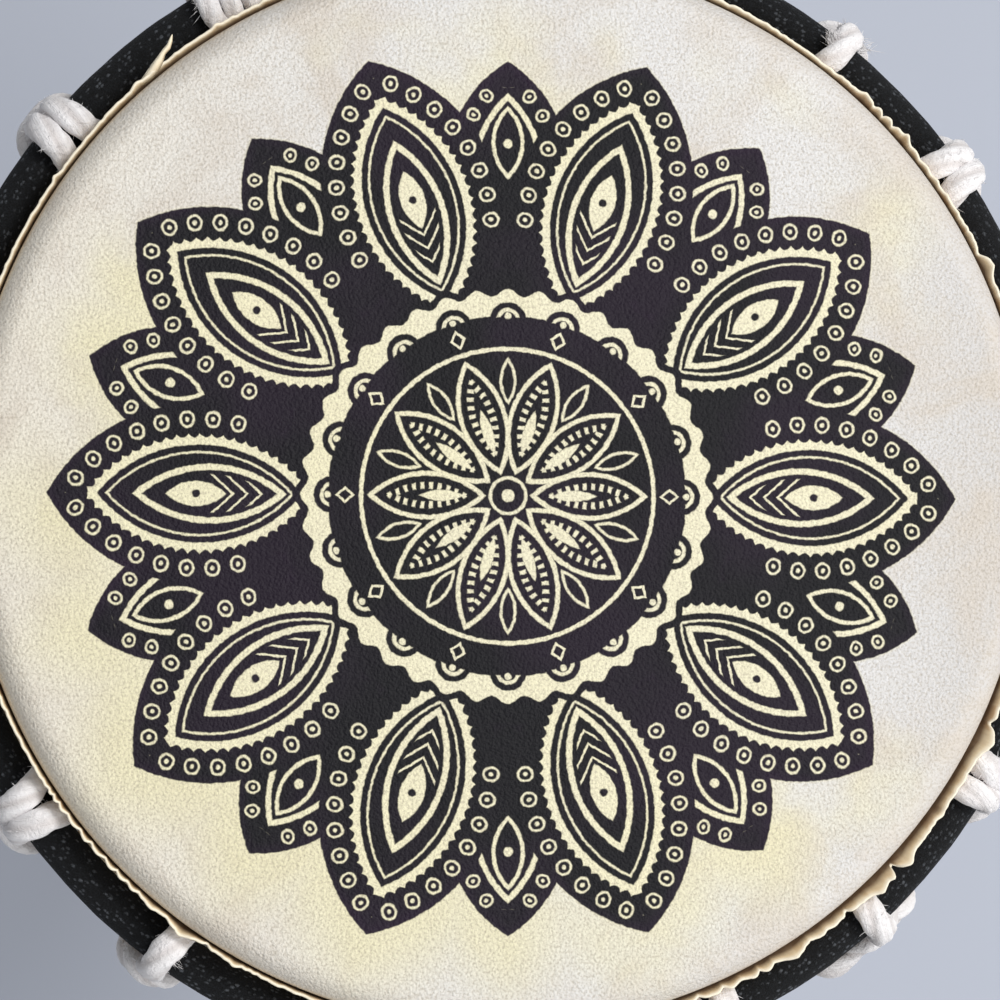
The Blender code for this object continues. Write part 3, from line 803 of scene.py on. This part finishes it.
def lacing_route():
    """The lacing: up outside, over the hanging loop, down inside, round the lower ring and up again."""
    radius, lean = lower_ring_place()
    drop = CROWN_DEPTH + LOOP_DROP - LACING_OVER_LOOP
    size = (2.6, 2.6)

    def over_loop(number):
        low = -drop - 6.4
        local = [
            (-2.0, LOOP_OUT + 6.1, low, *size),
            (-0.8, LOOP_OUT + 3.2, -drop, *size),
            (0, LOOP_OUT, 0.9 - drop, *size),
            (0.8, LOOP_OUT - 3.2, -drop, *size),
            (2.0, LOOP_OUT - 6.1, low, *size),
        ]
        return round_drum(loop_degrees(number), CROWN_RADIUS, 0, local)

    def beside_lower(degrees, places):
        local = []
        for along, angle, reach, thick in places:
            turn = math.radians(angle) - lean
            local.append((along, reach * math.cos(turn), reach * math.sin(turn), thick, 2.5))
        return round_drum(degrees, radius, LOWER_DEPTH, local)

    def between(number):
        before = loop_degrees(number - 1)
        return (before + (loop_degrees(number) - before) % 360 / 2) % 360

    going_in = [(-2.8, 118, 6.1, 2.4), (-1.8, 155, 5.1, 1.5), (-1.0, 195, 4.8, 1.3), (-0.2, 240, 5.3, 1.8)]
    coming_out = [(0.8, 288, 6.0, 2.4), (1.8, 340, 6.3, 2.6), (2.8, 400, 6.8, 2.6)]
    start = JOINING_HITCH + 1
    first_end = [(-2.6, 285, 16, 2.4), (-2.6, 332, 7.2, 2.6), (-1.8, 400, 6.8, 2.6)]
    last_end = [(-5.6, 285, 6.2, 2.4), (-5.2, 300, 16, 2.4)]
    seat = between(start)
    points = beside_lower(seat + 3, first_end)
    for number in range(start, start + HITCHES):
        points += over_loop(number)
        if number < start + HITCHES - 1:
            points += beside_lower(between(number + 1), going_in + coming_out)
    shifted = [(along - 3.5, *rest) for along, *rest in going_in]
    return points + beside_lower(seat, shifted + last_end)


def eased(route, step):
    """Samples of a smooth curve through a route's points, no further apart than the step."""
    points = np.array(route)
    before = np.vstack([2 * points[0] - points[1], points[:-1]])[:-1]
    after = np.vstack([points[2:], 2 * points[-1] - points[-2]])
    samples = []
    for p0, p1, p2, p3 in zip(before, points[:-1], points[1:], after):
        gaps = [max(np.linalg.norm((b - a)[:3]), 0.05) ** 0.5 for a, b in ((p0, p1), (p1, p2), (p2, p3))]
        start = gaps[1] * ((p1 - p0) / gaps[0] - (p2 - p0) / (gaps[0] + gaps[1]) + (p2 - p1) / gaps[1])
        end = gaps[1] * ((p2 - p1) / gaps[1] - (p3 - p1) / (gaps[1] + gaps[2]) + (p3 - p2) / gaps[2])
        count = max(int(np.linalg.norm((p2 - p1)[:3]) / step), 2)
        t = (np.arange(count) / count)[:, None]
        samples.append(hermite(t, p1, start, p2, end))
    return np.vstack(samples + [points[-1:]])


def carried_frames(centres):
    """Directions along and across a curve, carried along it without twisting."""
    along = np.gradient(centres, axis=0)
    along /= np.linalg.norm(along, axis=1)[:, None]
    across = np.zeros_like(along)
    side = np.cross(along[0], (0.0, 0.0, 1.0))
    for number, direction in enumerate(along):
        side = side - direction * side.dot(direction)
        side /= np.linalg.norm(side)
        across[number] = side
    return along, across, np.cross(along, across)


def rope(name, route, step, sides, lay, seed):
    """A soft, lumpy rope of three strands along a route, pressed flat where something holds it."""
    random = np.random.default_rng(seed)
    points = eased(route, step)
    centres, thick, wide, press = points[:, :3], points[:, 3], points[:, 4], points[:, 5:8]
    along, across, other = carried_frames(centres)
    way = np.concatenate([[0], np.cumsum(np.linalg.norm(np.diff(centres, axis=0), axis=1))])
    lumps = sum(
        random.uniform(0.3, 1.0) * np.sin(way * 2 * math.pi / pitch + random.uniform(0, 6.3))
        for pitch in LUMP_PITCHES
    )
    sway = [
        sum(np.sin(way * 2 * math.pi / pitch + random.uniform(0, 6.3)) for pitch in SWAY_PITCHES)
        for _ in range(2)
    ]
    centres = centres + SWAY * (across * sway[0][:, None] + other * sway[1][:, None])

    press = press - along * (press * along).sum(1)[:, None]
    held = np.linalg.norm(press, axis=1)
    press /= np.maximum(held, 1e-6)[:, None]
    weight = np.clip((held - 0.35) / 0.4, 0, 1)
    thick = wide + (thick - wide) * weight

    # What varies along the rope only is held as a column, so that it meets what varies round it
    around = np.arange(sides) / sides * 2 * math.pi
    run = way[:, None]
    phase = around - (run * 2 * math.pi / lay + 1.1 * np.sin(run / 11.0) + 0.6 * np.sin(run / 5.3))
    groove = (0.5 + 0.5 * np.cos(3 * phase + 0.5 * np.sin(run / 4.1))) ** 3
    fine_groove = (0.5 + 0.5 * np.cos(5 * phase + 2.0 * np.sin(run / 3.7 + 1.0))) ** 3
    dents = np.sin(run / 1.9) * np.sin(2 * phase + run / 2.7)
    dents += np.sin(run / 1.1 + 2.0 * np.sin(run / 4.3)) * np.sin(3 * around + run / 3.1)
    direction = np.cos(around)[:, None] * across[:, None] + np.sin(around)[:, None] * other[:, None]
    pressed = (direction * press[:, None]).sum(2)
    reach = 1 / np.sqrt((pressed / thick[:, None]) ** 2 + (1 - pressed**2) / wide[:, None] ** 2)
    reach *= 1.05 + 0.028 * lumps[:, None] - 0.15 * groove - 0.08 * fine_groove + 0.035 * dents
    rows = centres[:, None] + direction * reach[:, :, None]

    shape = bmesh.new()
    turn_layer = shape.verts.layers.float_vector.new("rope_turn")
    crease_shade_layer = shape.verts.layers.float.new("rope_crease_shade")
    rings = []
    for number, row in enumerate(rows):
        ring = []
        for corner, place in enumerate(row):
            vert = shape.verts.new(place * MM)
            angle = phase[number, corner]
            vert[turn_layer] = (math.cos(angle), math.sin(angle), way[number] * 0.05)
            # Painted shade for the creases, strongest down in the rope's grooves.
            vert[crease_shade_layer] = min(1.0, 0.85 * groove[number, corner] + 0.3 * fine_groove[number, corner])
            ring.append(vert)
        rings.append(ring)
    join_rings(shape, rings)
    for ring, middle, outward in ((rings[0], centres[0], -along[0]), (rings[-1], centres[-1], along[-1])):
        tip = shape.verts.new((middle + END_ROUNDING * outward) * MM)
        for a, b in zip(ring, ring[1:] + ring[:1]):
            shape.faces.new((a, b, tip))
    return finished(name, shape)


class HANDDRUM_OT_shell(bpy.types.Operator):
    """Turn the goblet shell and give it oiled wood"""

    bl_idname = "handdrum.shell"
    bl_label = "Turned Shell"

    # The fine grooves that the turner cut as ornament, below the waist and above the foot
    groove_depths = (212.0, 216.5, 221.0, 367.0, 371.5)
    groove_cut = 0.8
    groove_half_width = 0.75
    foot_rounding = 2.4

    def execute(self, context):
        top = TOP - HIDE
        rounding = RIM_ROUNDING - HIDE
        centre = (context.scene.drum_sizes.head_radius / MM - RIM_ROUNDING, top - rounding)
        beside = (-2.4, -1.2, -0.5, 0, 0.5, 1.2, 2.4)
        around_groove = [place + off for place in self.groove_depths for off in beside]
        plain = [np.linspace(9, 200, 30), np.linspace(206, 392, 26)]
        depths = np.sort(np.concatenate([*plain, around_groove]))
        outline = [(centre[0] - 1.5, top)] + arc(centre, rounding - 0.3, 90, 0, 7)
        off = (depths[:, None] - self.groove_depths) / self.groove_half_width
        cut = self.groove_cut * np.exp(-(off**2)).sum(1)
        outline += list(zip(smooth_through(OUTSIDE, depths) - cut, TOP - depths))
        foot = OUTSIDE[-1][1]
        outline += arc((foot - self.foot_rounding, self.foot_rounding), self.foot_rounding, 0, -90, 6)
        inner = np.linspace(400, 7, 40)
        outline += [(r, TOP - d) for d, r in zip(inner, smooth_through(INSIDE, inner))]
        thing = close_turned(turned("turned_shell", outline, segments=160), join_ends=True)
        dress(thing, turned_wood(context.scene.drum_colours), "drum_body", "shell", "shell")
        return {"FINISHED"}


class HANDDRUM_OT_drumhead(bpy.types.Operator):
    """Stretch the skin over the bearing edge and print the ornament on it"""

    bl_idname = "handdrum.drumhead"
    bl_label = "Printed Skin"

    # A radius small enough to close the middle, and how far the skin stands off the bowl's side
    pole = 0.01
    gap = 0.3

    def execute(self, context):
        centre = (context.scene.drum_sizes.head_radius / MM - RIM_ROUNDING, TOP - RIM_ROUNDING)
        outline = [(r, TOP) for r in (self.pole, 20, 40, 60, 80, 90)]
        outline += arc(centre, RIM_ROUNDING, 90, 0, 14)
        depths = np.linspace(8, 24, 8)
        side = smooth_through(OUTSIDE, depths)
        outline += [(r + self.gap + HIDE, TOP - d) for d, r in zip(depths, side)]
        outline += [(r + self.gap, TOP - d) for d, r in zip(depths[::-1], side[::-1])]
        outline += arc(centre, RIM_ROUNDING - HIDE, 0, 90, 8) + [(60, TOP - HIDE), (self.pole, TOP - HIDE)]
        thing = turned("printed_skin", outline, segments=240)
        bpy.ops.mesh.select_all(action="SELECT")
        bpy.ops.mesh.remove_doubles(threshold=0.03 * MM)
        thing = close_turned(thing, join_ends=False)
        dress(thing, goat_skin(context.scene.drum_colours), "drum_body", "drumhead", "drumhead")
        return {"FINISHED"}


class HANDDRUM_OT_wrapped_rings(bpy.types.Operator):
    """Wrap the crown ring and the lower ring in black cloth, sewn along a seam"""

    bl_idname = "handdrum.wrapped_rings"
    bl_label = "Wrapped Rings"

    # The raised seam's height, and its half width in degrees round the rod
    seam_height = 0.22
    seam_spread = 9

    def wrap(self, name, radius, depth, rod, seam_angle, segments):
        """One wrapped ring: a torus, raised a little along its seam and rounded unevenly."""
        deselect_all()
        middle_height = HEIGHT - depth * MM
        bpy.ops.mesh.primitive_torus_add(
            major_segments=segments, minor_segments=32, major_radius=radius * MM, minor_radius=rod * MM,
            location=(0, 0, middle_height),
        )
        thing = bpy.context.object
        bpy.ops.object.transform_apply(location=True, rotation=True, scale=True)
        thing.name = thing.data.name = name
        for vert in thing.data.vertices:
            angle = math.atan2(vert.co.y, vert.co.x)
            out, up = math.hypot(vert.co.x, vert.co.y) - radius * MM, vert.co.z - middle_height
            section = math.degrees(math.atan2(up, out)) % 360
            off_seam = abs((section - seam_angle + 180) % 360 - 180)
            swell = self.seam_height * math.exp(-((off_seam / self.seam_spread) ** 2)) - 0.05
            swell += 0.035 * math.sin(37 * angle + section / 40) + 0.03 * math.sin(83 * angle - section / 25)
            grow = 1 + swell / rod
            reach = radius * MM + out * grow
            vert.co = (reach * math.cos(angle), reach * math.sin(angle), middle_height + up * grow)
        thing.data.shade_smooth()
        return thing

    def execute(self, context):
        colours = context.scene.drum_colours
        lower_radius, _ = lower_ring_place()
        crown = self.wrap(
            "crown_ring_cloth", CROWN_RADIUS, CROWN_DEPTH, WRAPPED_ROD, seam_angle=215, segments=480)
        cloth = ring_cloth("crown_cloth", CROWN_RADIUS, CROWN_DEPTH, colours)
        dress(crown, cloth, "crown", "ring_cloth", "crown_ring_wrap")
        lower = self.wrap(
            "lower_ring_cloth", lower_radius, LOWER_DEPTH, LOWER_WRAPPED_ROD, seam_angle=150, segments=320)
        cloth = ring_cloth("lower_cloth", lower_radius, LOWER_DEPTH, colours)
        dress(lower, cloth, "drum_body", "ring_cloth", "lower_ring_wrap")
        iron = black_iron(colours)
        for node in ("crown_ring", "flesh_ring", "lower_ring"):
            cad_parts[node].data.materials.clear()
            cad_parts[node].data.materials.append(iron)
        return {"FINISHED"}


def near(degrees, place, spread):
    """1 at one place round the drum, and less and less away from it."""
    return np.exp(-(((degrees - place + 180) % 360 - 180) / spread) ** 2)


def wander(random, degrees, spacing):
    """A smooth random course between -1 and 1 that closes on itself round the drum."""
    knots = round(360 / spacing)
    values = random.uniform(-1, 1, knots)
    place = degrees / 360 * knots
    first = place.astype(int) % knots
    t = place - place.astype(int)
    return values[first] + (values[(first + 1) % knots] - values[first]) * (3 * t**2 - 2 * t**3)


class HANDDRUM_OT_collar(bpy.types.Operator):
    """Turn the hide's margin up round the flesh ring and trim it raggedly inside the crown ring"""

    bl_idname = "handdrum.collar"
    bl_label = "Trimmed Collar"

    steps = 1440

    # Half the hide's thickness, and half of it at the cut edge
    half_thickness = (0.35, 0.22)

    # Degrees and spread of the flaps that lean out, of the pleats, and of the waves with their share
    flaps = (320, 26)
    pleats = (298, 13)
    waves = ((216, 20, 0.75), (44, 5, 1.5), (275, 20, 0.3))

    # Where the knife slipped or the hide tore: degrees, spread, and how far the edge leans out and rises
    torn = (
        (25.0, 1.0, 1.3, 0.2), (26.6, 0.5, -0.4, -0.7), (41.5, 0.5, 0.7, 0.3), (47.6, 0.45, 0.8, 0.1),
        (101.0, 0.35, -0.2, -0.6), (122.5, 0.4, 0.3, 0.3), (133.0, 0.6, 0.4, 0.2), (146.0, 0.4, 0.5, 0.2),
        (162.0, 0.35, 0.0, -0.6), (187.0, 0.5, 0.4, 0.3), (199.0, 0.4, -0.2, -0.5), (229.5, 0.5, 0.6, 0.3),
        (233.6, 1.1, 1.1, -0.3), (236.6, 0.4, -0.5, -0.5), (240.0, 0.6, 0.5, 0.2), (262.0, 0.5, 0.4, -0.3),
        (281.0, 0.6, 0.6, 0.3), (302.0, 0.9, 0.6, 0.5), (308.9, 0.3, -0.6, -0.9), (313.2, 1.0, 0.9, 0.4),
        (315.0, 0.5, 0.5, 0.4), (315.9, 0.32, -1.3, -2.2), (317.4, 0.7, 1.0, 0.5), (323.5, 0.5, 0.5, -0.6),
        (332.5, 1.2, 1.4, 0.4), (334.4, 0.4, -0.5, -1.0), (347.0, 0.6, 0.5, 0.2), (357.0, 0.4, 0.2, -0.5),
    )

    def execute(self, context):
        random = np.random.default_rng(11)
        degrees = np.arange(self.steps) * 360 / self.steps
        flap = near(degrees, *self.flaps)
        pleated = near(degrees, *self.pleats)
        lively = 0.22 + sum(share * near(degrees, place, spread) for place, spread, share in self.waves)
        drift = wander(random, degrees, 4.0)
        ripple = np.abs(np.sin(math.pi * (degrees / 1.6 + 0.8 * drift))) - 0.64
        scallop = np.abs(np.sin(math.pi * (degrees / 3.2 + 0.9 * drift))) - 0.64
        wave = ripple * lively * (0.6 + 0.4 * wander(random, degrees, 5.0))
        slow = wander(random, degrees, 9.0)
        fray = wander(random, degrees, 0.45)
        lean = 0.10 + 1.3 * flap + 0.75 * wave + 0.2 * slow + 0.09 * fray + 0.55 * pleated * scallop
        rise = 0.55 * wave + 0.2 * slow + 0.16 * fray + 0.5 * pleated * scallop
        for place, spread, out, up in self.torn:
            lean += out * near(degrees, place, spread)
            rise += up * near(degrees, place, spread)

        inner = [(97.05, -21.2)] + arc((FLESH_RADIUS, -FLESH_DEPTH), FLESH_ROD + 0.5, -150, 90, 9)
        inner += [(100.1, -21.6), (98.75, -19.6), (98.2, -16.2), (98.2, -13.2)]
        upper = 12
        share = np.linspace(0, 1, upper + 1)[1:]
        line = np.zeros((self.steps, len(inner) + upper, 2))
        line[:, : len(inner)] = np.array(inner)
        height = -13.2 + 9.5 * share
        radius = np.interp(height, (-13.2, -9.5, -6.6, -3.7), (98.2, 99.6, 100.45, 100.85))
        free = np.clip((share - 0.45) / 0.55, 0, 1) ** 1.7
        pleat = 0.25 * (pleated * scallop)[:, None] * np.clip((share - 0.55) / 0.2, 0, 1)
        line[:, len(inner):, 0] = radius + lean[:, None] * free + pleat
        line[:, len(inner):, 1] = height + rise[:, None] * share**2 + lean[:, None] * 0.15 * free
        self.build(context, line, degrees)
        return {"FINISHED"}

    def build(self, context, line, degrees):
        """The mesh: two skins and a rounded cut edge, from a middle line for each step round the drum."""
        along = np.gradient(line, axis=1)
        along /= np.linalg.norm(along, axis=2)[:, :, None]
        across = np.stack([-along[:, :, 1], along[:, :, 0]], axis=2)
        count = line.shape[1]
        half = np.interp(np.arange(count), (count - 6, count - 1), self.half_thickness)[None, :, None]
        tip = line[:, -1:] + along[:, -1:] * 0.12
        outline = np.concatenate([line + across * half, tip, (line - across * half)[:, ::-1]], axis=1)
        order = np.concatenate([np.arange(count), [count], np.arange(count)[::-1]])
        pale = np.clip(order - (count - 2), 0, 1)
        middle = np.concatenate([line, tip, line[:, ::-1]], axis=1)
        # Painted shade on the margin's inner face, darker the deeper it goes into the gap beside the head; each
        # corner keeps its amount in the loop below.
        gap_shade = np.clip((-4.15 - outline[:, :, 1]) / 1.5, 0, 1) * (outline[:, :, 0] < middle[:, :, 0] - 0.02)
        shape = bmesh.new()
        layer = shape.verts.layers.float.new("cut_edge")
        gap_shade_layer = shape.verts.layers.float.new("painted_gap_shade")
        rings = []
        for angle, section, depths in zip(np.radians(degrees), outline, gap_shade):
            ring = []
            for (r, z), value, deep in zip(section, pale, depths):
                x, y = r * math.cos(angle), r * math.sin(angle)
                vert = shape.verts.new((x * MM, y * MM, HEIGHT + z * MM))
                vert[layer] = value
                vert[gap_shade_layer] = deep
                ring.append(vert)
            rings.append(ring)
        join_rings(shape, rings + rings[:1])
        self.add_sliver(shape, layer)
        thing = finished("trimmed_collar", shape)
        dress(thing, trimmed_hide(context.scene.drum_colours), "crown", "skin_collar", "skin_collar")

    def add_sliver(self, shape, layer):
        """A thin strip of the edge that the knife left, curling up and away."""
        # Degrees, radius, height and half width
        course = (
            (132.6, 100.9, -4.8, 0.6), (131.4, 101.0, -3.9, 1.0), (130.4, 101.3, -3.2, 1.15),
            (129.5, 101.8, -2.7, 0.95), (128.7, 102.5, -2.3, 0.6), (128.0, 102.7, -1.9, 0.62),
            (127.4, 103.4, -1.6, 0.5), (127.0, 104.0, -1.5, 0.12),
        )
        rings = []
        for degrees, radius, height, half in course:
            angle = math.radians(degrees)
            out = Vector((math.cos(angle), math.sin(angle), 0))
            middle = out * radius * MM + Vector((0, 0, HEIGHT + height * MM))
            width = (out * 0.8 + Vector((0, 0, 0.6))) * half * MM
            thick = (out * -0.6 + Vector((0, 0, 0.8))) * 0.16 * MM
            ring = [shape.verts.new(middle + offset) for offset in (width, thick, -width, -thick)]
            for vert, value in zip(ring, (1.0, 0.5, 0.2, 0.3)):
                vert[layer] = value
            rings.append(ring)
        join_rings(shape, rings)
        shape.faces.new(rings[0][::-1])
        shape.faces.new(rings[-1])


class HANDDRUM_OT_ropes(bpy.types.Operator):
    """Hitch the loop rope round the crown ring and lace the drum"""

    bl_idname = "handdrum.ropes"
    bl_label = "Ropes"

    # Fine hairs all over the hitches. Each has three rings of three corners and a tip, and the rings are
    # given by their share of its length and their half thickness.
    hairs = 3200
    hair_rings = ((0.0, 0.075), (0.4, 0.06), (0.75, 0.04))
    hair_corners = 10

    # Frayed places: degrees, out and up from the ring's middle, direction along, out and up, hairs, length
    tufts = (
        (54.0, 1.5, 6.8, (0.9, 0.5, 0.4), 90, 2.5), (53.6, 5.0, 4.0, (0.6, 0.9, 0.2), 40, 1.8),
        (234.9, 0.5, 6.2, (0.9, 0.1, 0.4), 34, 2.3), (122.4, 1.0, 5.6, (0.9, 0.1, 0.4), 50, 1.7),
        (121.6, 5.0, 3.0, (0.7, 0.6, 0.2), 40, 1.7), (50.6, 5.4, 1.5, (-0.8, 0.7, 0.2), 50, 1.9),
    )

    def fuzz(self, loops):
        """Fine curved hairs that stand off the hitches, and denser tufts at the frayed places."""
        random = np.random.default_rng(17)
        mesh = loops.data
        places, normals = (np.empty(len(mesh.vertices) * 3) for _ in range(2))
        mesh.vertices.foreach_get("co", places)
        mesh.vertex_normals.foreach_get("vector", normals)
        places, normals = places.reshape(-1, 3) / MM, normals.reshape(-1, 3)
        high = np.flatnonzero(places[:, 2] > TOP - CROWN_DEPTH - 5)
        chosen = random.choice(high, self.hairs, replace=False)
        roots = [places[chosen] - 0.15 * normals[chosen]]
        ways = [normals[chosen] * 0.7 + 0.55 * random.normal(size=(self.hairs, 3))]
        lengths = [random.uniform(0.4, 1.4, self.hairs)]
        for degrees, out, up, lean, count, length in self.tufts:
            angle = math.radians(degrees)
            outward = np.array([math.cos(angle), math.sin(angle), 0])
            onward = np.array([-math.sin(angle), math.cos(angle), 0])
            centre = (CROWN_RADIUS + out) * outward + np.array([0, 0, TOP - CROWN_DEPTH + up])
            way = lean[0] * onward + lean[1] * outward + np.array([0, 0, lean[2]])
            roots.append(centre - 0.9 * way + 0.8 * random.normal(size=(count, 3)))
            ways.append(way + 0.33 * random.normal(size=(count, 3)))
            lengths.append(random.uniform(0.5, 1.0, count) * length)
        roots, ways, lengths = np.vstack(roots), np.vstack(ways), np.concatenate(lengths)[:, None]
        ways /= np.linalg.norm(ways, axis=1)[:, None]
        bends = 0.35 * random.normal(size=ways.shape)
        side = np.cross(ways, bends)
        side /= np.linalg.norm(side, axis=1)[:, None]
        other = np.cross(ways, side)
        corners, faces = [], []
        for share, half in self.hair_rings:
            middle = roots + lengths * (ways * share + bends * share**2)
            for turn in np.radians((0, 120, 240)):
                corners.append(middle + half * (side * math.cos(turn) + other * math.sin(turn)))
        corners.append(roots + lengths * (ways + bends))
        corners = np.stack(corners, axis=1).reshape(-1, 3) * MM
        for first in range(0, len(corners), self.hair_corners):
            for ring in (0, 3):
                for a, b in ((0, 1), (1, 2), (2, 0)):
                    faces.append([first + ring + k for k in (a, b, b + 3, a + 3)])
            faces += [[first + 6 + a, first + 6 + b, first + 9] for a, b in ((0, 1), (1, 2), (2, 0))]
            faces.append([first + 2, first + 1, first])
        mesh = bpy.data.meshes.new("rope_fuzz")
        mesh.from_pydata(corners.tolist(), [], faces)
        turn = mesh.attributes.new("rope_turn", "FLOAT_VECTOR", "POINT")
        fibres = random.uniform(-1, 1, (len(roots), 3))
        turn.data.foreach_set("vector", np.repeat(fibres, self.hair_corners, axis=0).ravel())
        mesh.validate()
        return linked("rope_fuzz", mesh)

    def execute(self, context):
        material = white_rope(context.scene.drum_colours)
        loops = rope("hitched_rope", loop_rope_route(), step=0.85, sides=24, lay=34.0, seed=3)
        dress(loops, material, "crown", "rope", "top_loop_rope")
        dress(self.fuzz(loops), material, "crown", "rope")
        lacing = rope("laced_rope", lacing_route(), step=1.9, sides=16, lay=30.0, seed=5)
        lacing.data.materials.append(material)
        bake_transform(lacing)
        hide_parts("lacing_rope")
        return {"FINISHED"}


class HANDDRUM_OT_stage(bpy.types.Operator):
    """Lay the studio paper and set the lights and the camera"""

    bl_idname = "handdrum.stage"
    bl_label = "Studio"

    def floor(self, context):
        deselect_all()
        bpy.ops.mesh.primitive_circle_add(vertices=96, radius=PAPER_RADIUS, fill_type="TRIFAN")
        thing = bpy.context.object
        thing.name = thing.data.name = "studio_paper"
        thing.data.materials.append(studio_floor(context.scene.drum_colours))

    def soft_light(self, name, place, size, strength):
        """A round soft light that shines at the head."""
        deselect_all()
        bpy.ops.object.light_add(type="AREA", location=place)
        light = bpy.context.object
        light.name = name
        light.data.shape = "DISK"
        light.data.size = size
        light.data.energy = strength
        light.data.color = LIGHT_COLOUR
        aim = Vector((0, 0, HEIGHT)) - light.location
        light.rotation_euler = aim.to_track_quat("-Z", "Y").to_euler()

    def room_light(self, context):
        world = bpy.data.worlds.new("studio_room")
        world.use_nodes = True
        background = world.node_tree.nodes["Background"]
        background.inputs["Color"].default_value = ROOM_COLOUR
        background.inputs["Strength"].default_value = context.scene.drum_sizes.room_strength
        context.scene.world = world

    def camera(self, context):
        deselect_all()
        bpy.ops.object.camera_add(location=(*CAMERA_PLACE, HEIGHT + CAMERA_ABOVE))
        camera = bpy.context.object
        camera.name = "photo_camera"
        aim = Vector((*VIEW_CENTRE, HEIGHT)) - camera.location
        back = -aim.normalized()
        right = Vector((0, 1, 0)).cross(back).normalized()
        camera.rotation_euler = Matrix((right, back.cross(right), back)).transposed().to_euler()
        camera.data.sensor_width = SENSOR
        camera.data.lens = SENSOR * aim.length / VIEW_WIDTH
        context.scene.camera = camera

    def execute(self, context):
        self.floor(context)
        strength = context.scene.drum_sizes.key_strength
        self.soft_light("key_light", *KEY_LIGHT, strength)
        self.soft_light("fill_light", *FILL_LIGHT, strength * FILL_SHARE)
        self.room_light(context)
        self.camera(context)
        context.scene.view_settings.view_transform = "Standard"
        return {"FINISHED"}


class HANDDRUM_PT_panel(bpy.types.Panel):
    """The drum's sizes, colours and pieces"""

    bl_label = "Hand Drum"
    bl_idname = "HANDDRUM_PT_panel"
    bl_space_type = "VIEW_3D"
    bl_region_type = "UI"
    bl_category = "Hand Drum"

    def draw(self, context):
        sizes = self.layout.box()
        for name in DrumSizes.__annotations__:
            sizes.prop(context.scene.drum_sizes, name)
        colours = self.layout.box()
        for name in DrumColours.__annotations__:
            colours.prop(context.scene.drum_colours, name)
        for operator in OPERATORS:
            self.layout.operator(operator.bl_idname)


OPERATORS = (
    HANDDRUM_OT_stage,
    HANDDRUM_OT_shell,
    HANDDRUM_OT_drumhead,
    HANDDRUM_OT_collar,
    HANDDRUM_OT_wrapped_rings,
    HANDDRUM_OT_ropes,
)
CLASSES = (DrumColours, DrumSizes, *OPERATORS, HANDDRUM_PT_panel)


def register():
    for made in CLASSES:
        bpy.utils.register_class(made)
    bpy.types.Scene.drum_colours = PointerProperty(type=DrumColours)
    bpy.types.Scene.drum_sizes = PointerProperty(type=DrumSizes)


def unregister():
    del bpy.types.Scene.drum_sizes
    del bpy.types.Scene.drum_colours
    for made in reversed(CLASSES):
        bpy.utils.unregister_class(made)


def main():
    register()
    bpy.ops.handdrum.stage()
    bpy.ops.handdrum.shell()
    bpy.ops.handdrum.drumhead()
    bpy.ops.handdrum.collar()
    bpy.ops.handdrum.wrapped_rings()
    bpy.ops.handdrum.ropes()


if __name__ == "__main__":
    main()
